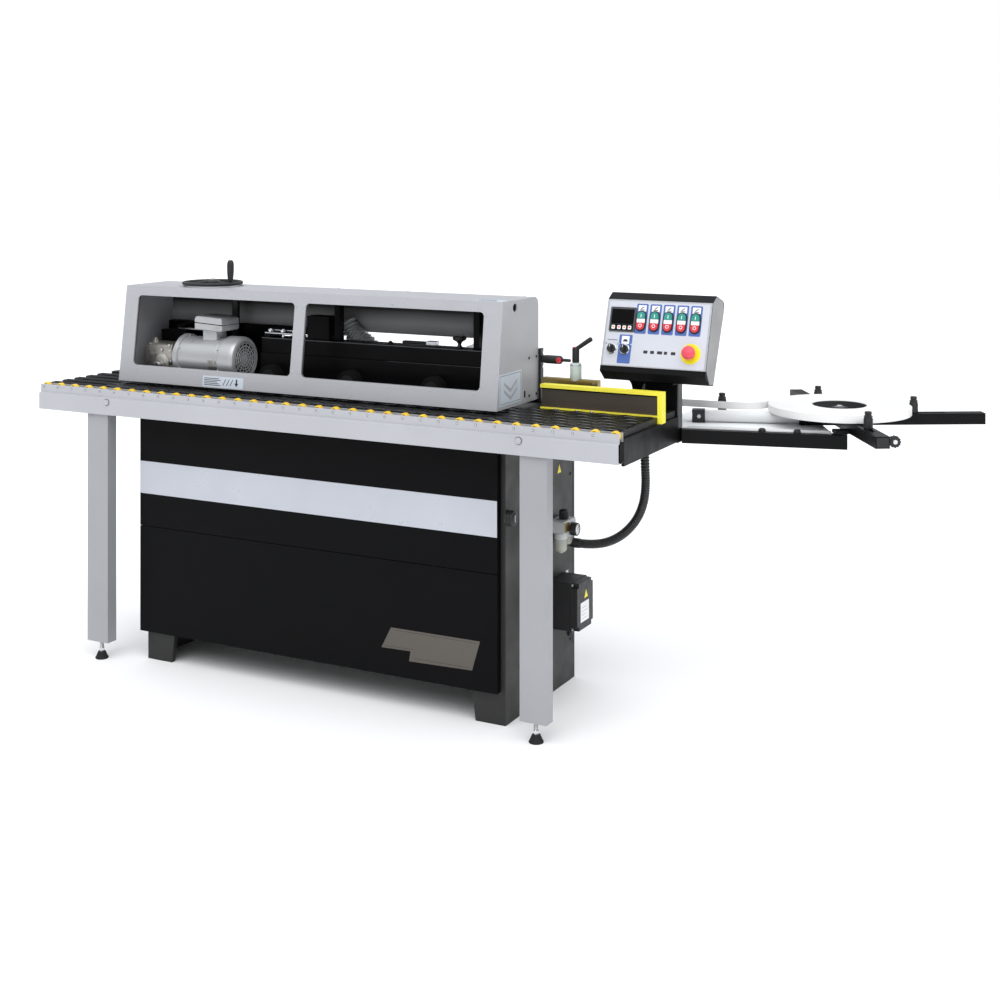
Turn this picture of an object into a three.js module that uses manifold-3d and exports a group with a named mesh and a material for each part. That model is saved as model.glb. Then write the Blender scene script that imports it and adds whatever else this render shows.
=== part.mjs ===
// Edge banding machine: roller-rail table on a steel cabinet, a lifting feed head under a
// windowed hood, a fence with air fittings, a sloping control console and a flat tape coil.
// Millimetres. X runs along the table from the first roller, Y runs back from the rail's
// front face, Z is up from the floor. The last lines move the origin to the floor under the
// middle of the whole machine.
import * as THREE from "three";
import { mergeVertices } from "three/addons/utils/BufferGeometryUtils.js";
import Module from "manifold-3d";

const wasm = await Module();
wasm.setup();

// ---------- driving dimensions ----------
const GAP = 0.3;                       // clearance between touching pieces
const TABLE_TOP = 878;
const RAIL = { x0: -13.5, x1: 2057, y0: -8, y1: 32, z0: 797, step: 852.4, top: 878, wall: 3 };
const ROLLER = { pitch: 60, count: 35, radius: 15, width: 22, z: 870, y: 16, pin: 3 };
const SPIN_ROLLERS = 2;                // rollers at the open end made as turning nodes
const LEG = { y0: 3, y1: 43, z0: 58, wall: 3, left: [187, 272], right: [1757, 1840] };
const CABINET = { x0: 365, x1: 1669, y0: 90, y1: 564, z0: 94, z1: 797, sheet: 16 };
const FOOT_WIDTH = 97;
const PANEL = { x0: 348.6, x1: 1652.2, thick: 19.5, seam: 434.5, z0: 94, z1: 790, gap: 2 };
const DECK = { x0: -13.5, x1: 2048.5, y0: 34, y1: 446, plate: 16, bars: 210 };
const FENCE = { x0: 1677, x1: 2063, y0: 300, z1: 950, rim: 14, hook: 860 };
const HOOD = { x0: 216, x1: 1626, bottom: 890, top: 1202, frontLow: 118, frontTop: 158, back: 394, sheet: 4 };
const WINDOW = { z0: 944, z1: 1171, radius: 14, left: [270, 897], right: [938, 1566] };
const HOOD_BACK_EDGE = 1063;
const BEAM = { x0: 700, x1: 1560, y0: 250, y1: 318, z0: 905, z1: 1044 };
const WHEEL = { radius: 38, width: 44, y: 222, z: 925, xs: [760, 1060, 1360] };
const MOTOR = { y: 230, z: 971, x0: 403, x1: 588, radius: 66, fanRadius: 74, fanEnd: 650 };
const GEARBOX = { x0: 268, x1: 402, z0: 905, z1: 1022, y0: 186, y1: 286, shaftX: 326, shaftZ: 939 };
const TERMINALS = { x0: 482, x1: 594, y0: 178, y1: 272, z0: 1060, z1: 1111, neck: 17 };
const HANDWHEEL = { x: 492, y: 262, z: 1206, radius: 100, rim: 6, grip: 82 };
const CONSOLE = { x: 2010, y: 390, z: 1106, lean: -0.3168, half: 164, up: 127, down: 117, deep: 102 };
const POST = { x0: 1951, x1: 2056, y0: 450, y1: 550, z0: 782, thick: 34, side: 2052 };
const FRONT_ARM = { angle: 14.3, width: 40, z0: 782, z1: 822, length: 473.3, x: 2063.3, y: 472.5 };
const COIL = { x: 2461, y: 735, outer: 210, bore: 80, z0: 863, z1: 885 };
const SUPPORT = { angle: 29.5, width: 40, z0: 826, z1: 859, front: 436, back: 120 };
const CROSS = { angle: -58.5, front: 396, back: 485 };
const PEG_DISTANCE = { front: 271, near: 224.5 };
const JUNCTION = { x0: 1669.5, x1: 1762, y0: 380, y1: 499, z0: 198, z1: 344 };
const HOSE_RADIUS = 14;

const rad = THREE.MathUtils.degToRad;

// ---------- shape helpers ----------
function solid(geometry) {
  const plain = geometry.clone();
  plain.deleteAttribute("normal");
  plain.deleteAttribute("uv");
  const merged = mergeVertices(plain, 1e-3);
  return new wasm.Manifold(new wasm.Mesh({
    numProp: 3,
    vertProperties: new Float32Array(merged.attributes.position.array),
    triVerts: new Uint32Array(merged.index.array),
  }));
}

function geometryOf(manifold) {
  const mesh = manifold.getMesh();
  const geometry = new THREE.BufferGeometry();
  geometry.setAttribute("position", new THREE.BufferAttribute(mesh.vertProperties, 3));
  geometry.setIndex(new THREE.BufferAttribute(mesh.triVerts, 1));
  geometry.computeVertexNormals();
  return geometry;
}

function box(x0, x1, y0, y1, z0, z1) {
  const geometry = new THREE.BoxGeometry(x1 - x0, y1 - y0, z1 - z0);
  return solid(geometry.translate((x0 + x1) / 2, (y0 + y1) / 2, (z0 + z1) / 2));
}

// A round bar from one end to the other; axis is "x", "y" or "z".
function rod(axis, radius, from, to, a, b, sides = 20, endRadius = radius) {
  const geometry = new THREE.CylinderGeometry(endRadius, radius, to - from, sides);
  const middle = (from + to) / 2;
  if (axis === "x") geometry.rotateZ(-Math.PI / 2).translate(middle, a, b);
  if (axis === "y") geometry.translate(a, middle, b);
  if (axis === "z") geometry.rotateX(Math.PI / 2).translate(a, b, middle);
  return solid(geometry);
}

// A flat outline swept along an axis: (y, z) outlines along x, (x, z) along y, (x, y) along z.
function prism(axis, shape, from, to) {
  const geometry = new THREE.ExtrudeGeometry(shape, {
    depth: to - from, bevelEnabled: false, curveSegments: 5, steps: 1,
  });
  const turn = new THREE.Matrix4();
  if (axis === "x") turn.set(0, 0, 1, from, 1, 0, 0, 0, 0, 1, 0, 0, 0, 0, 0, 1);
  if (axis === "y") turn.set(1, 0, 0, 0, 0, 0, -1, to, 0, 1, 0, 0, 0, 0, 0, 1);
  if (axis === "z") turn.makeTranslation(0, 0, from);
  return solid(geometry.applyMatrix4(turn));
}

function outline(points) {
  return new THREE.Shape(points.map(([a, b]) => new THREE.Vector2(a, b)));
}

function roundedRect(a0, a1, b0, b1, r) {
  const shape = new THREE.Shape();
  shape.absarc(a0 + r, b0 + r, r, Math.PI, 1.5 * Math.PI);
  shape.absarc(a1 - r, b0 + r, r, -0.5 * Math.PI, 0);
  shape.absarc(a1 - r, b1 - r, r, 0, 0.5 * Math.PI);
  shape.absarc(a0 + r, b1 - r, r, 0.5 * Math.PI, Math.PI);
  return shape;
}

function lathe(points, sides) {
  const profile = points.map(([r, h]) => new THREE.Vector2(r, h));
  return new THREE.LatheGeometry(profile, sides).rotateX(Math.PI / 2);
}

// ---------- materials ----------
function finish(color, roughness, metalness) {
  return new THREE.MeshStandardMaterial({ color, roughness, metalness });
}

const greyPaint = finish(0xb9bbc1, 0.55, 0.2);
const blackPaint = finish(0x121214, 0.4, 0.3);
const blackPlastic = finish(0x17181a, 0.5, 0);
const bronzeSteel = finish(0x4b443a, 0.45, 0.7);
const yellowPaint = finish(0xf6d815, 0.4, 0.1);
const steel = finish(0xb5b8bc, 0.3, 0.9);
const greyCast = finish(0x8f9296, 0.5, 0.5);
const rubber = finish(0x1a1a1a, 0.9, 0);
const whiteTape = finish(0xf2f2ee, 0.6, 0);
const clearPlastic = finish(0xdfe3df, 0.2, 0);
const buttonGreen = finish(0x1f9c7a, 0.4, 0);
const buttonRed = finish(0xd8323c, 0.4, 0);
const stopRed = finish(0xe8424f, 0.4, 0);

const machine = new THREE.Group();

function add(name, shape, material, parent = machine) {
  const geometry = shape instanceof THREE.BufferGeometry ? shape : geometryOf(shape);
  const mesh = new THREE.Mesh(geometry, material);
  mesh.name = name;
  parent.add(mesh);
  return mesh;
}

// ---------- cabinet ----------
function cabinetShell() {
  const c = CABINET;
  const t = c.sheet;
  const inner = [c.x0 + t, c.x1 - t, c.y0 - 1, c.y1 - t, c.z0 + t, c.z1 - t];
  const under = [c.x0 + t, c.x1 - t, c.y0 + t, c.y1 + 1, -1, c.z0];
  const frontCut = outline([
    [c.x0 + FOOT_WIDTH, -1], [c.x1 - FOOT_WIDTH, -1],
    [c.x1 - FOOT_WIDTH - 12, c.z0], [c.x0 + FOOT_WIDTH + 12, c.z0],
  ]);
  return box(c.x0, c.x1, c.y0, c.y1, 0, c.z1)
    .subtract(box(...inner))
    .subtract(box(...under))
    .subtract(prism("y", frontCut, c.y0 - 1, c.y0 + t + 1));
}

add("cabinet", cabinetShell(), blackPaint);

const panelFront = CABINET.y0 - GAP - PANEL.thick;
const panelBack = CABINET.y0 - GAP;
add("lower_panel", box(PANEL.x0, PANEL.x1, panelFront, panelBack, PANEL.z0,
  PANEL.seam - PANEL.gap / 2), blackPaint);

// The door's left edge turns on pins in line with its front corner.
add("upper_door", box(PANEL.x0, PANEL.x1, panelFront, panelBack, PANEL.seam + PANEL.gap / 2,
  PANEL.z1), blackPaint);

const LATCH = { y: 100, z: 592, radius: 23, length: 26 };
add("door_latch_knob", rod("x", LATCH.radius, CABINET.x1 + GAP, CABINET.x1 + LATCH.length,
  LATCH.y, LATCH.z, 24), blackPlastic);

// ---------- legs with levelling feet ----------
function leg([x0, x1]) {
  const t = LEG.wall;
  const tube = box(x0, x1, LEG.y0, LEG.y1, LEG.z0, RAIL.z0 - GAP);
  const hollow = box(x0 + t, x1 - t, LEG.y0 + t, LEG.y1 - t, LEG.z0 + 6, RAIL.z0);
  return tube.subtract(hollow);
}

function levelFoot([x0, x1]) {
  const profile = [[0, 0], [21, 0], [21, 5], [12, 24], [9, 24], [9, 34], [7, 34], [7, LEG.z0 - GAP],
    [0, LEG.z0 - GAP]];
  return lathe(profile, 24).translate((x0 + x1) / 2, (LEG.y0 + LEG.y1) / 2, 0);
}

for (const side of ["left", "right"]) {
  add(`leg_${side}`, leg(LEG[side]), greyPaint);
  add(`foot_${side}`, levelFoot(LEG[side]), blackPlastic);
}

// ---------- table ----------
function railBody() {
  const r = RAIL;
  const w = r.wall;
  const outer = outline([
    [r.y0, r.z0], [r.y1, r.z0], [r.y1, r.top], [0, r.top], [0, r.step], [r.y0, r.step - w],
  ]);
  const channel = outline([
    [r.y0 + w, r.z0 + w], [r.y1 - w, r.z0 + w], [r.y1 - w, r.top + 1], [w, r.top + 1],
    [w, r.step], [r.y0 + w, r.step - w],
  ]);
  let body = prism("x", outer, r.x0, r.x1).subtract(prism("x", channel, r.x0 - 1, r.x1 + 1));
  for (const x of [277, 1759]) {
    body = body.add(rod("y", 9, r.y0 - 4, r.y0 + 1, x, 838, 16));
  }
  return body;
}

add("roller_rail", railBody(), greyPaint);

for (let i = ROLLER.count - SPIN_ROLLERS; i < ROLLER.count; i += 1) {
  const x = i * ROLLER.pitch;
  const drum = rod("y", ROLLER.radius, ROLLER.y - ROLLER.width / 2, ROLLER.y + ROLLER.width / 2,
    x, ROLLER.z, 20);
  const pin = rod("y", ROLLER.pin, RAIL.wall + GAP, RAIL.y1 - RAIL.wall - GAP, x, ROLLER.z, 10);
  add(`roller_${i + 1}`, drum.add(pin), yellowPaint);
}

function deckBody() {
  const d = DECK;
  const under = TABLE_TOP - d.plate;
  const skirt = 8;
  let body = box(d.bars, d.x1, d.y0, d.y1, RAIL.z0 + GAP, TABLE_TOP)
    .subtract(box(d.bars + skirt, d.x1 - skirt, d.y0 + skirt, d.y1 - skirt, RAIL.z0 - 1, under));
  const barWidth = 30;
  const barPitch = 56;
  const bars = 5;
  for (let i = 0; i < bars; i += 1) {
    const y = d.y0 + 10 + i * barPitch;
    body = body.add(box(d.x0, d.bars + 1, y, y + barWidth, TABLE_TOP - 40, TABLE_TOP));
  }
  const crossBar = box(d.x0 + 60, d.x0 + 90, d.y0, d.y1 - 100, TABLE_TOP - 60, TABLE_TOP - 39);
  const backBlock = box(d.x0 + 20, d.bars + 1, 318, 350, TABLE_TOP - 40, TABLE_TOP + 5);
  return body.add(crossBar).add(backBlock).subtract(box(d.x0 - 1, d.x0 + 59, d.y0 - 1, d.y1,
    TABLE_TOP - 80, TABLE_TOP - 40));
}

add("table_deck", deckBody(), blackPaint);
add("end_plate", box(DECK.x1 + GAP, RAIL.x1, DECK.y0, POST.y0 - 1, 786, 860), blackPaint);

// ---------- fence ----------
const guardFront = FENCE.y0;
const guardTop = box(FENCE.x0, FENCE.x1, guardFront, guardFront + 30, FENCE.z1 - 10, FENCE.z1);
const guardEnd = box(FENCE.x1 - FENCE.rim, FENCE.x1, guardFront, guardFront + 30,
  FENCE.hook + GAP, FENCE.z1);
const guardFoot = box(FENCE.x0, FENCE.x1, guardFront, guardFront + 30, TABLE_TOP + GAP,
  TABLE_TOP + 5);
add("fence_guard", guardTop.add(guardEnd).add(guardFoot), yellowPaint);
add("fence_plate", box(FENCE.x0, FENCE.x1 - FENCE.rim - GAP, guardFront + 12, guardFront + 24,
  TABLE_TOP + 5 + GAP, FENCE.z1 - 10 - GAP), bronzeSteel);

// Stand behind the fence: a bronze bar, a black guide post and a clear sight tube.
const STAND = { x: 1757, y: 380 };
const standBar = box(1650, 1833, 368, 392, TABLE_TOP + GAP, 960);
const standFoot = box(1627, 1652, 380, 411, TABLE_TOP + GAP, TABLE_TOP + 12);
const sightTube = rod("z", 18, 955, 1010, STAND.x, STAND.y, 20);
const guidePost = box(1627, 1635, 391, 411, TABLE_TOP + GAP, 1044);
add("lever_stand", standBar.add(standFoot).add(sightTube).add(guidePost), bronzeSteel);

const lockBoss = rod("x", 13, 1635 + GAP, 1702, 402, 1011, 16);
const lockRod = rod("x", 5, 1700, 1730, 402, 1011, 10);
add("lock_lever", lockBoss.add(lockRod), blackPlastic);

function clampLever() {
  const hub = rod("z", 11, 1010 + GAP, 1057, STAND.x, STAND.y, 16);
  const handle = new THREE.CylinderGeometry(5, 7, 62, 12).rotateX(-Math.PI / 2).rotateY(0.98);
  handle.translate(STAND.x + 26, STAND.y, 1067);
  return hub.add(solid(handle));
}

add("clamp_lever", clampLever(), blackPlastic);

// ---------- feed head under the hood ----------
function hoodShape(inset) {
  const h = HOOD;
  const slope = (h.frontTop - h.frontLow) / (h.top - h.bottom);
  const back = h.back - inset;
  const top = h.top - inset;
  const radius = 26 - inset;
  const low = h.bottom - inset;
  const shape = new THREE.Shape();
  shape.moveTo(h.frontLow + inset - slope * inset, low);
  shape.lineTo(back, low);
  shape.lineTo(back, top - radius);
  shape.absarc(back - radius, top - radius, radius, 0, Math.PI / 2);
  shape.lineTo(h.frontTop + inset - slope * inset, top);
  return shape;
}

function hoodBody() {
  const h = HOOD;
  let body = prism("x", hoodShape(0), h.x0, h.x1)
    .subtract(prism("x", hoodShape(h.sheet), h.x0 + h.sheet, h.x1 - h.sheet))
    .subtract(box(h.x0 + h.sheet, h.x1 - h.sheet, h.back - 20, h.back + 1, h.bottom - 1,
      HOOD_BACK_EDGE));
  for (const [x0, x1] of [WINDOW.left, WINDOW.right]) {
    const hole = roundedRect(x0, x1, WINDOW.z0, WINDOW.z1, WINDOW.radius);
    body = body.subtract(prism("y", hole, h.frontLow - 20, h.frontTop + 20));
  }
  const sideHole = roundedRect(222, 250, 1168, 1192, 11);
  return body.subtract(prism("x", sideHole, h.x1 - 10, h.x1 + 1));
}

add("hood", hoodBody(), greyPaint);

function beamBody() {
  const b = BEAM;
  const body = box(b.x0, b.x1, b.y0, b.y1, b.z0, b.z1);
  const ledge = box(b.x0, b.x1, b.y0 - 8, b.y0 + 1, b.z0, b.z0 + 90);
  const hanger = box(968, 988, b.y0 + 20, b.y0 + 44, b.z1 - 1, HOOD.top - HOOD.sheet - GAP);
  const farHanger = hanger.translate(500, 0, 0);
  return body.add(ledge).add(hanger).add(farHanger);
}

add("pressure_beam", beamBody(), blackPaint);

for (const [side, x] of [["left", 520], ["right", 1500]]) {
  add(`column_${side}`, rod("z", 13, TABLE_TOP + GAP, 1150, x, 350, 20), steel);
}

WHEEL.xs.forEach((x, i) => {
  const tread = rod("y", WHEEL.radius, WHEEL.y - WHEEL.width / 2, WHEEL.y + WHEEL.width / 2 - 8,
    x, WHEEL.z, 28);
  const axle = rod("y", 9, WHEEL.y - WHEEL.width / 2 - 6, BEAM.y0 - 8 - GAP, x, WHEEL.z, 14);
  add(`feed_wheel_${i + 1}`, tread.add(axle), rubber);
});

function motorBody() {
  const m = MOTOR;
  const barrel = rod("x", m.radius, m.x0, m.x1, m.y, m.z, 32);
  const collar = rod("x", m.radius + 7, m.x0, m.x0 + 22, m.y, m.z, 32);
  const cowl = rod("x", m.fanRadius, m.x1 - 1, m.fanEnd, m.y, m.z, 32, m.fanRadius - 3);
  const air = rod("x", m.fanRadius - 7, m.x1 + 6, m.fanEnd - 4, m.y, m.z, 32);
  const vent = rod("x", 30, m.fanEnd - 5, m.fanEnd + 1, m.y, m.z, 20);
  const foot = box(m.x0 + 30, m.x1 - 30, m.y - 55, m.y + 55, 914, m.z - 40);
  const t = TERMINALS;
  const terminals = box(t.x0, t.x1, t.y0, t.y1, t.z0, t.z1);
  const neck = box(t.x0 + t.neck, t.x1 - 2 * t.neck, t.y0 + t.neck, t.y1 - t.neck,
    m.z + m.radius - 8, t.z0 + 1);
  return barrel.add(collar).add(cowl).add(foot).add(neck).add(terminals).subtract(air)
    .subtract(vent);
}

add("feed_motor", motorBody(), greyCast);

function fanBody() {
  const hub = rod("x", 14, MOTOR.x1 + 6 + GAP, MOTOR.fanEnd - 10, MOTOR.y, MOTOR.z, 16);
  let fan = hub;
  const blades = 7;
  for (let i = 0; i < blades; i += 1) {
    const blade = new THREE.BoxGeometry(34, 3, 48).translate(0, 0, 12 + 24);
    blade.rotateX((i * 2 * Math.PI) / blades).translate(MOTOR.x1 + 28, MOTOR.y, MOTOR.z);
    fan = fan.add(solid(blade));
  }
  return fan;
}

add("motor_fan", fanBody(), blackPlastic);

function gearboxBody() {
  const g = GEARBOX;
  const casing = box(g.x0, g.x1, g.y0 + 8, g.y1 - 8, g.z0, g.z1);
  const hub = rod("y", 40, g.y0, g.y1, g.shaftX, g.shaftZ, 28);
  const bore = rod("y", 12.5, g.y0 - 1, g.y1 + 1, g.shaftX, g.shaftZ, 24);
  const shoulder = rod("x", 45, g.x1 - 24, g.x1 - GAP / 2, MOTOR.y, MOTOR.z, 28);
  return casing.add(hub).add(shoulder).subtract(bore);
}

add("worm_gearbox", gearboxBody(), greyCast);
add("drive_shaft", rod("y", 12, GEARBOX.y0 - 14, GEARBOX.y1 + 30, GEARBOX.shaftX,
  GEARBOX.shaftZ, 20), steel);

// Handwheel: rim, three spokes and hub, with a free grip standing on the rim.
function handwheelBody() {
  const w = HANDWHEEL;
  const ringPoints = [];
  const around = 8;
  for (let i = 0; i <= around; i += 1) {
    const a = (i * 2 * Math.PI) / around;
    ringPoints.push([w.radius - w.rim + w.rim * Math.cos(a), w.rim + w.rim * Math.sin(a)]);
  }
  let wheel = solid(lathe(ringPoints, 40));
  wheel = wheel.add(rod("z", 22, -1.5, 16, 0, 0, 20));
  const spokes = 3;
  for (let i = 0; i < spokes; i += 1) {
    const spoke = new THREE.BoxGeometry(w.radius - w.rim, 16, 6);
    spoke.translate((w.radius - w.rim) / 2, 0, w.rim).rotateZ((i * 2 * Math.PI) / spokes);
    wheel = wheel.add(solid(spoke));
  }
  const seat = rod("z", 11, 0.5, 13, w.grip, 0, 16);
  return wheel.add(seat);
}

const handwheelGroup = new THREE.Group();
handwheelGroup.position.set(HANDWHEEL.x, HANDWHEEL.y, HANDWHEEL.z);
handwheelGroup.rotation.z = rad(-8);
machine.add(handwheelGroup);
add("handwheel", handwheelBody(), blackPlastic, handwheelGroup);
const gripProfile = [[0, 13 + GAP], [8, 13 + GAP], [10, 30], [11.5, 60], [11, 76], [6, 84], [0, 85]];
const grip = add("crank_grip", lathe(gripProfile, 20), blackPlastic, handwheelGroup);
grip.position.x = HANDWHEEL.grip;

// ---------- cabinet side: junction box, air unit, hose ----------
const j = JUNCTION;
const gland = rod("z", 11, j.z0 - 26, j.z0 + 1, 1716, 425, 16);
add("junction_box", box(j.x0, j.x1, j.y0, j.y1, j.z0, j.z1).add(gland), blackPlastic);

const AIR = { x: 1700, y: 418 };
function airUnit() {
  const block = box(CABINET.x1 + GAP, 1722, 376, 462, 472, 528);
  const bowl = rod("z", 19, 428, 473, AIR.x, 396, 20);
  const lubricator = rod("z", 19, 444, 473, AIR.x, 440, 20);
  const elbow = rod("x", 15, 1700, 1741, 450, 450, 16);
  const gauge = rod("x", 20, 1721, 1742, 430, 497, 24);
  const neck = box(1690, 1722, 436, 462, 444, 474);
  return block.add(bowl).add(lubricator).add(elbow).add(gauge).add(neck);
}

add("air_unit", airUnit(), clearPlastic);
add("regulator_knob", rod("z", 15, 528 + GAP, 556, AIR.x, AIR.y, 20), blackPlastic);

// Corrugated hose from the air unit up to the console post, under the table end.
const hosePath = new THREE.CatmullRomCurve3([
  [1742, 450, 450], [1765, 450, 451], [1795, 449, 455], [1825, 448, 463], [1852, 447, 475],
  [1877, 445, 491], [1899, 443, 510], [1918, 441, 531], [1934, 439, 555], [1946, 436, 580],
  [1955, 433, 608], [1960, 430, 637], [1962, 428, 668], [1962, 425, 702], [1962, 422, 740],
  [1962, 420, 770], [1962, 420, 800],
].map((p) => new THREE.Vector3(...p)));
const hoseSection = new THREE.Shape();
hoseSection.absarc(0, 0, HOSE_RADIUS, 0, 2 * Math.PI);
add("air_hose", new THREE.ExtrudeGeometry(hoseSection, {
  steps: 14, curveSegments: 5, bevelEnabled: false, extrudePath: hosePath,
}), rubber);

// ---------- control console on its post ----------
function postBody() {
  const p = POST;
  const back = p.y0 + p.thick;
  const face = new THREE.Shape();
  face.moveTo(p.x0 + 34, p.z0);
  face.lineTo(p.x1, p.z0);
  face.lineTo(p.x1, 850);
  face.quadraticCurveTo(p.side - 6, 880, p.side, 962);
  face.lineTo(p.x0 - 62, 962);
  face.quadraticCurveTo(p.x0 - 40, 956, p.x0 - 40, 925);
  face.lineTo(p.x0 - 10, 925);
  face.quadraticCurveTo(p.x0 - 10, 945, p.x0, 950);
  face.lineTo(p.x0, 900);
  face.lineTo(p.x0 + 34, 870);
  const base = box(p.x0 + 34, p.x1, back - 1, p.y1, p.z0, FRONT_ARM.z1);
  const neck = outline([[p.y0 - 32, 955], [back, 955], [back, 1060], [p.y0 - 10, 975], [p.y0 - 32, 958]]);
  return prism("y", face, p.y0, back).add(base).add(prism("x", neck, p.x0 + 8, p.side));
}

add("console_post", postBody(), blackPaint);

const consoleGroup = new THREE.Group();
consoleGroup.position.set(CONSOLE.x, CONSOLE.y, CONSOLE.z);
consoleGroup.rotation.x = CONSOLE.lean;
machine.add(consoleGroup);

function consoleBody() {
  const c = CONSOLE;
  const brow = 24;
  const corner = 20;
  const shape = new THREE.Shape();
  shape.moveTo(0, -c.down);
  shape.lineTo(42, -c.down - 17);
  shape.lineTo(c.deep - 26, -c.down - 10);
  shape.lineTo(c.deep, c.up - corner);
  shape.absarc(c.deep - corner, c.up - corner, corner, 0, Math.PI / 2);
  shape.lineTo(brow, c.up);
  shape.lineTo(0, c.up - brow - 2);
  let body = prism("x", shape, -c.half, c.half);
  const wells = [...buttonPlaces(), ...SELECTORS.map((x) => [x, SELECTOR_Z, 9])];
  for (const [x, z, half] of wells) {
    body = body.subtract(box(x - half, x + half, -1, 14, z - half, z + half));
  }
  return body.subtract(rod("y", 9, -1, 20, E_STOP.x, E_STOP.z, 16));
}

const BUTTONS = { first: -51, pitch: 42.2, count: 5, z: 37, spread: 15, half: 12.3 };
const SELECTORS = [-134, -93];
const SELECTOR_Z = -50;
const E_STOP = { x: 113, z: -53, radius: 20, stem: 8.5 };

function buttonPlaces() {
  const places = [];
  for (let i = 0; i < BUTTONS.count; i += 1) {
    const x = BUTTONS.first + i * BUTTONS.pitch;
    places.push([x, BUTTONS.z + BUTTONS.spread, BUTTONS.half + GAP]);
    places.push([x, BUTTONS.z - BUTTONS.spread, BUTTONS.half + GAP]);
  }
  return places;
}

add("console_box", consoleBody(), blackPaint, consoleGroup);

const TRAVEL = 4;                      // stroke of a push button
for (let i = 0; i < BUTTONS.count; i += 1) {
  const x = BUTTONS.first + i * BUTTONS.pitch;
  const h = BUTTONS.half;
  for (const [kind, z, material] of [["start", BUTTONS.z + BUTTONS.spread, buttonGreen],
    ["stop", BUTTONS.z - BUTTONS.spread, buttonRed]]) {
    add(`${kind}_button_${i + 1}`, box(x - h, x + h, -TRAVEL - 3, 14 - TRAVEL - GAP, z - h, z + h),
      material, consoleGroup);
  }
}

SELECTORS.forEach((x, i) => {
  const shaft = rod("y", 8, -8, 13, x, SELECTOR_Z, 16);
  const handle = box(x - 4, x + 4, -20, -6, SELECTOR_Z - 12, SELECTOR_Z + 12);
  add(`selector_${i + 1}`, shaft.add(handle), blackPlastic, consoleGroup);
});

const mushroom = rod("y", E_STOP.radius, -34, -14, E_STOP.x, E_STOP.z, 24);
add("emergency_stop", mushroom.add(rod("y", E_STOP.stem, -16, 12, E_STOP.x, E_STOP.z, 16)), stopRed,
  consoleGroup);

// ---------- tape magazine ----------
// Bars are built along +X from the middle of the coil, then turned into place.
function along(angle, distance) {
  return [COIL.x + distance * Math.cos(rad(angle)), COIL.y + distance * Math.sin(rad(angle))];
}

const frontArmGroup = new THREE.Group();
frontArmGroup.position.set(FRONT_ARM.x, FRONT_ARM.y, 0);
frontArmGroup.rotation.z = rad(FRONT_ARM.angle);
machine.add(frontArmGroup);
const halfArm = FRONT_ARM.width / 2;
const armStud = rod("z", 8, FRONT_ARM.z1 - 1, SUPPORT.z0 - GAP, FRONT_ARM.length - 25, 0, 12);
add("front_arm", box(-2, FRONT_ARM.length, -halfArm, halfArm, FRONT_ARM.z0, FRONT_ARM.z1)
  .add(armStud), blackPaint, frontArmGroup);

const coilGroup = new THREE.Group();
coilGroup.position.set(COIL.x, COIL.y, 0);
machine.add(coilGroup);

const SLOT = { from: 212, to: 320, width: 10 };
function slot(sign) {
  const a = sign * SLOT.from;
  const b = sign * SLOT.to;
  return box(Math.min(a, b), Math.max(a, b), -SLOT.width / 2, SLOT.width / 2, SUPPORT.z0 - 1,
    SUPPORT.z1 + 1);
}

const halfBar = SUPPORT.width / 2;
const lapLevel = (SUPPORT.z0 + SUPPORT.z1) / 2;
const lapAngle = rad(CROSS.angle - SUPPORT.angle);

const supportGroup = new THREE.Group();
supportGroup.rotation.z = rad(SUPPORT.angle);
coilGroup.add(supportGroup);
const crossLap = new THREE.BoxGeometry(120, 2 * halfBar + 1, 40).rotateZ(lapAngle)
  .translate(0, 0, lapLevel - 20);
add("support_beam", box(-SUPPORT.back, SUPPORT.front, -halfBar, halfBar, SUPPORT.z0, SUPPORT.z1)
  .subtract(slot(1)).subtract(solid(crossLap)), blackPaint, supportGroup);

const crossGroup = new THREE.Group();
crossGroup.rotation.z = rad(CROSS.angle);
coilGroup.add(crossGroup);
const supportLap = new THREE.BoxGeometry(120, 2 * halfBar + 1, 40).rotateZ(-lapAngle)
  .translate(0, 0, lapLevel + 20 - GAP);
// A tab on the left side rests on the front arm's stud; a lug on the right side holds the knob.
const armTab = box(131, 167, -62, -halfBar + 1, SUPPORT.z0, SUPPORT.z0 + 10);
const KNOB = { x: 362, y: 38, radius: 17 };
const knobLug = box(KNOB.x - 12, KNOB.x, halfBar - 1, KNOB.y + 8, lapLevel - 8, lapLevel + 8);
add("cross_arm", box(-CROSS.back, CROSS.front, -halfBar, halfBar, SUPPORT.z0, SUPPORT.z1)
  .subtract(slot(1)).subtract(slot(-1)).subtract(solid(supportLap)).add(armTab).add(knobLug),
blackPaint, crossGroup);

const turntable = rod("z", 118, SUPPORT.z1 + GAP, COIL.z0 - GAP, 0, 0, 40);
const boss = rod("z", 24, COIL.z0 - 1, COIL.z1 - 8, 0, 0, 20);
add("coil_plate", turntable.add(boss), blackPaint, coilGroup);

const coilProfile = [[COIL.bore, COIL.z0], [COIL.outer, COIL.z0], [COIL.outer, COIL.z1],
  [COIL.bore, COIL.z1], [COIL.bore, COIL.z0]];
add("tape_coil", lathe(coilProfile, 64), whiteTape, coilGroup);

function peg() {
  const foot = rod("z", 4.5, SUPPORT.z0 + 3, SUPPORT.z1 + 1, 0, 0, 12);
  const post = rod("z", 13, SUPPORT.z1 + GAP, 896, 0, 0, 20);
  return foot.add(post).add(rod("z", 10, 895, 908, 0, 0, 20));
}

for (const [name, angle, distance] of [["peg_front", CROSS.angle, PEG_DISTANCE.front],
  ["peg_back", CROSS.angle + 180, PEG_DISTANCE.near], ["peg_right", SUPPORT.angle, PEG_DISTANCE.near]]) {
  const mesh = add(name, peg(), blackPlastic);
  const [x, y] = along(angle, distance);
  mesh.position.set(x, y, 0);
}

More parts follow.
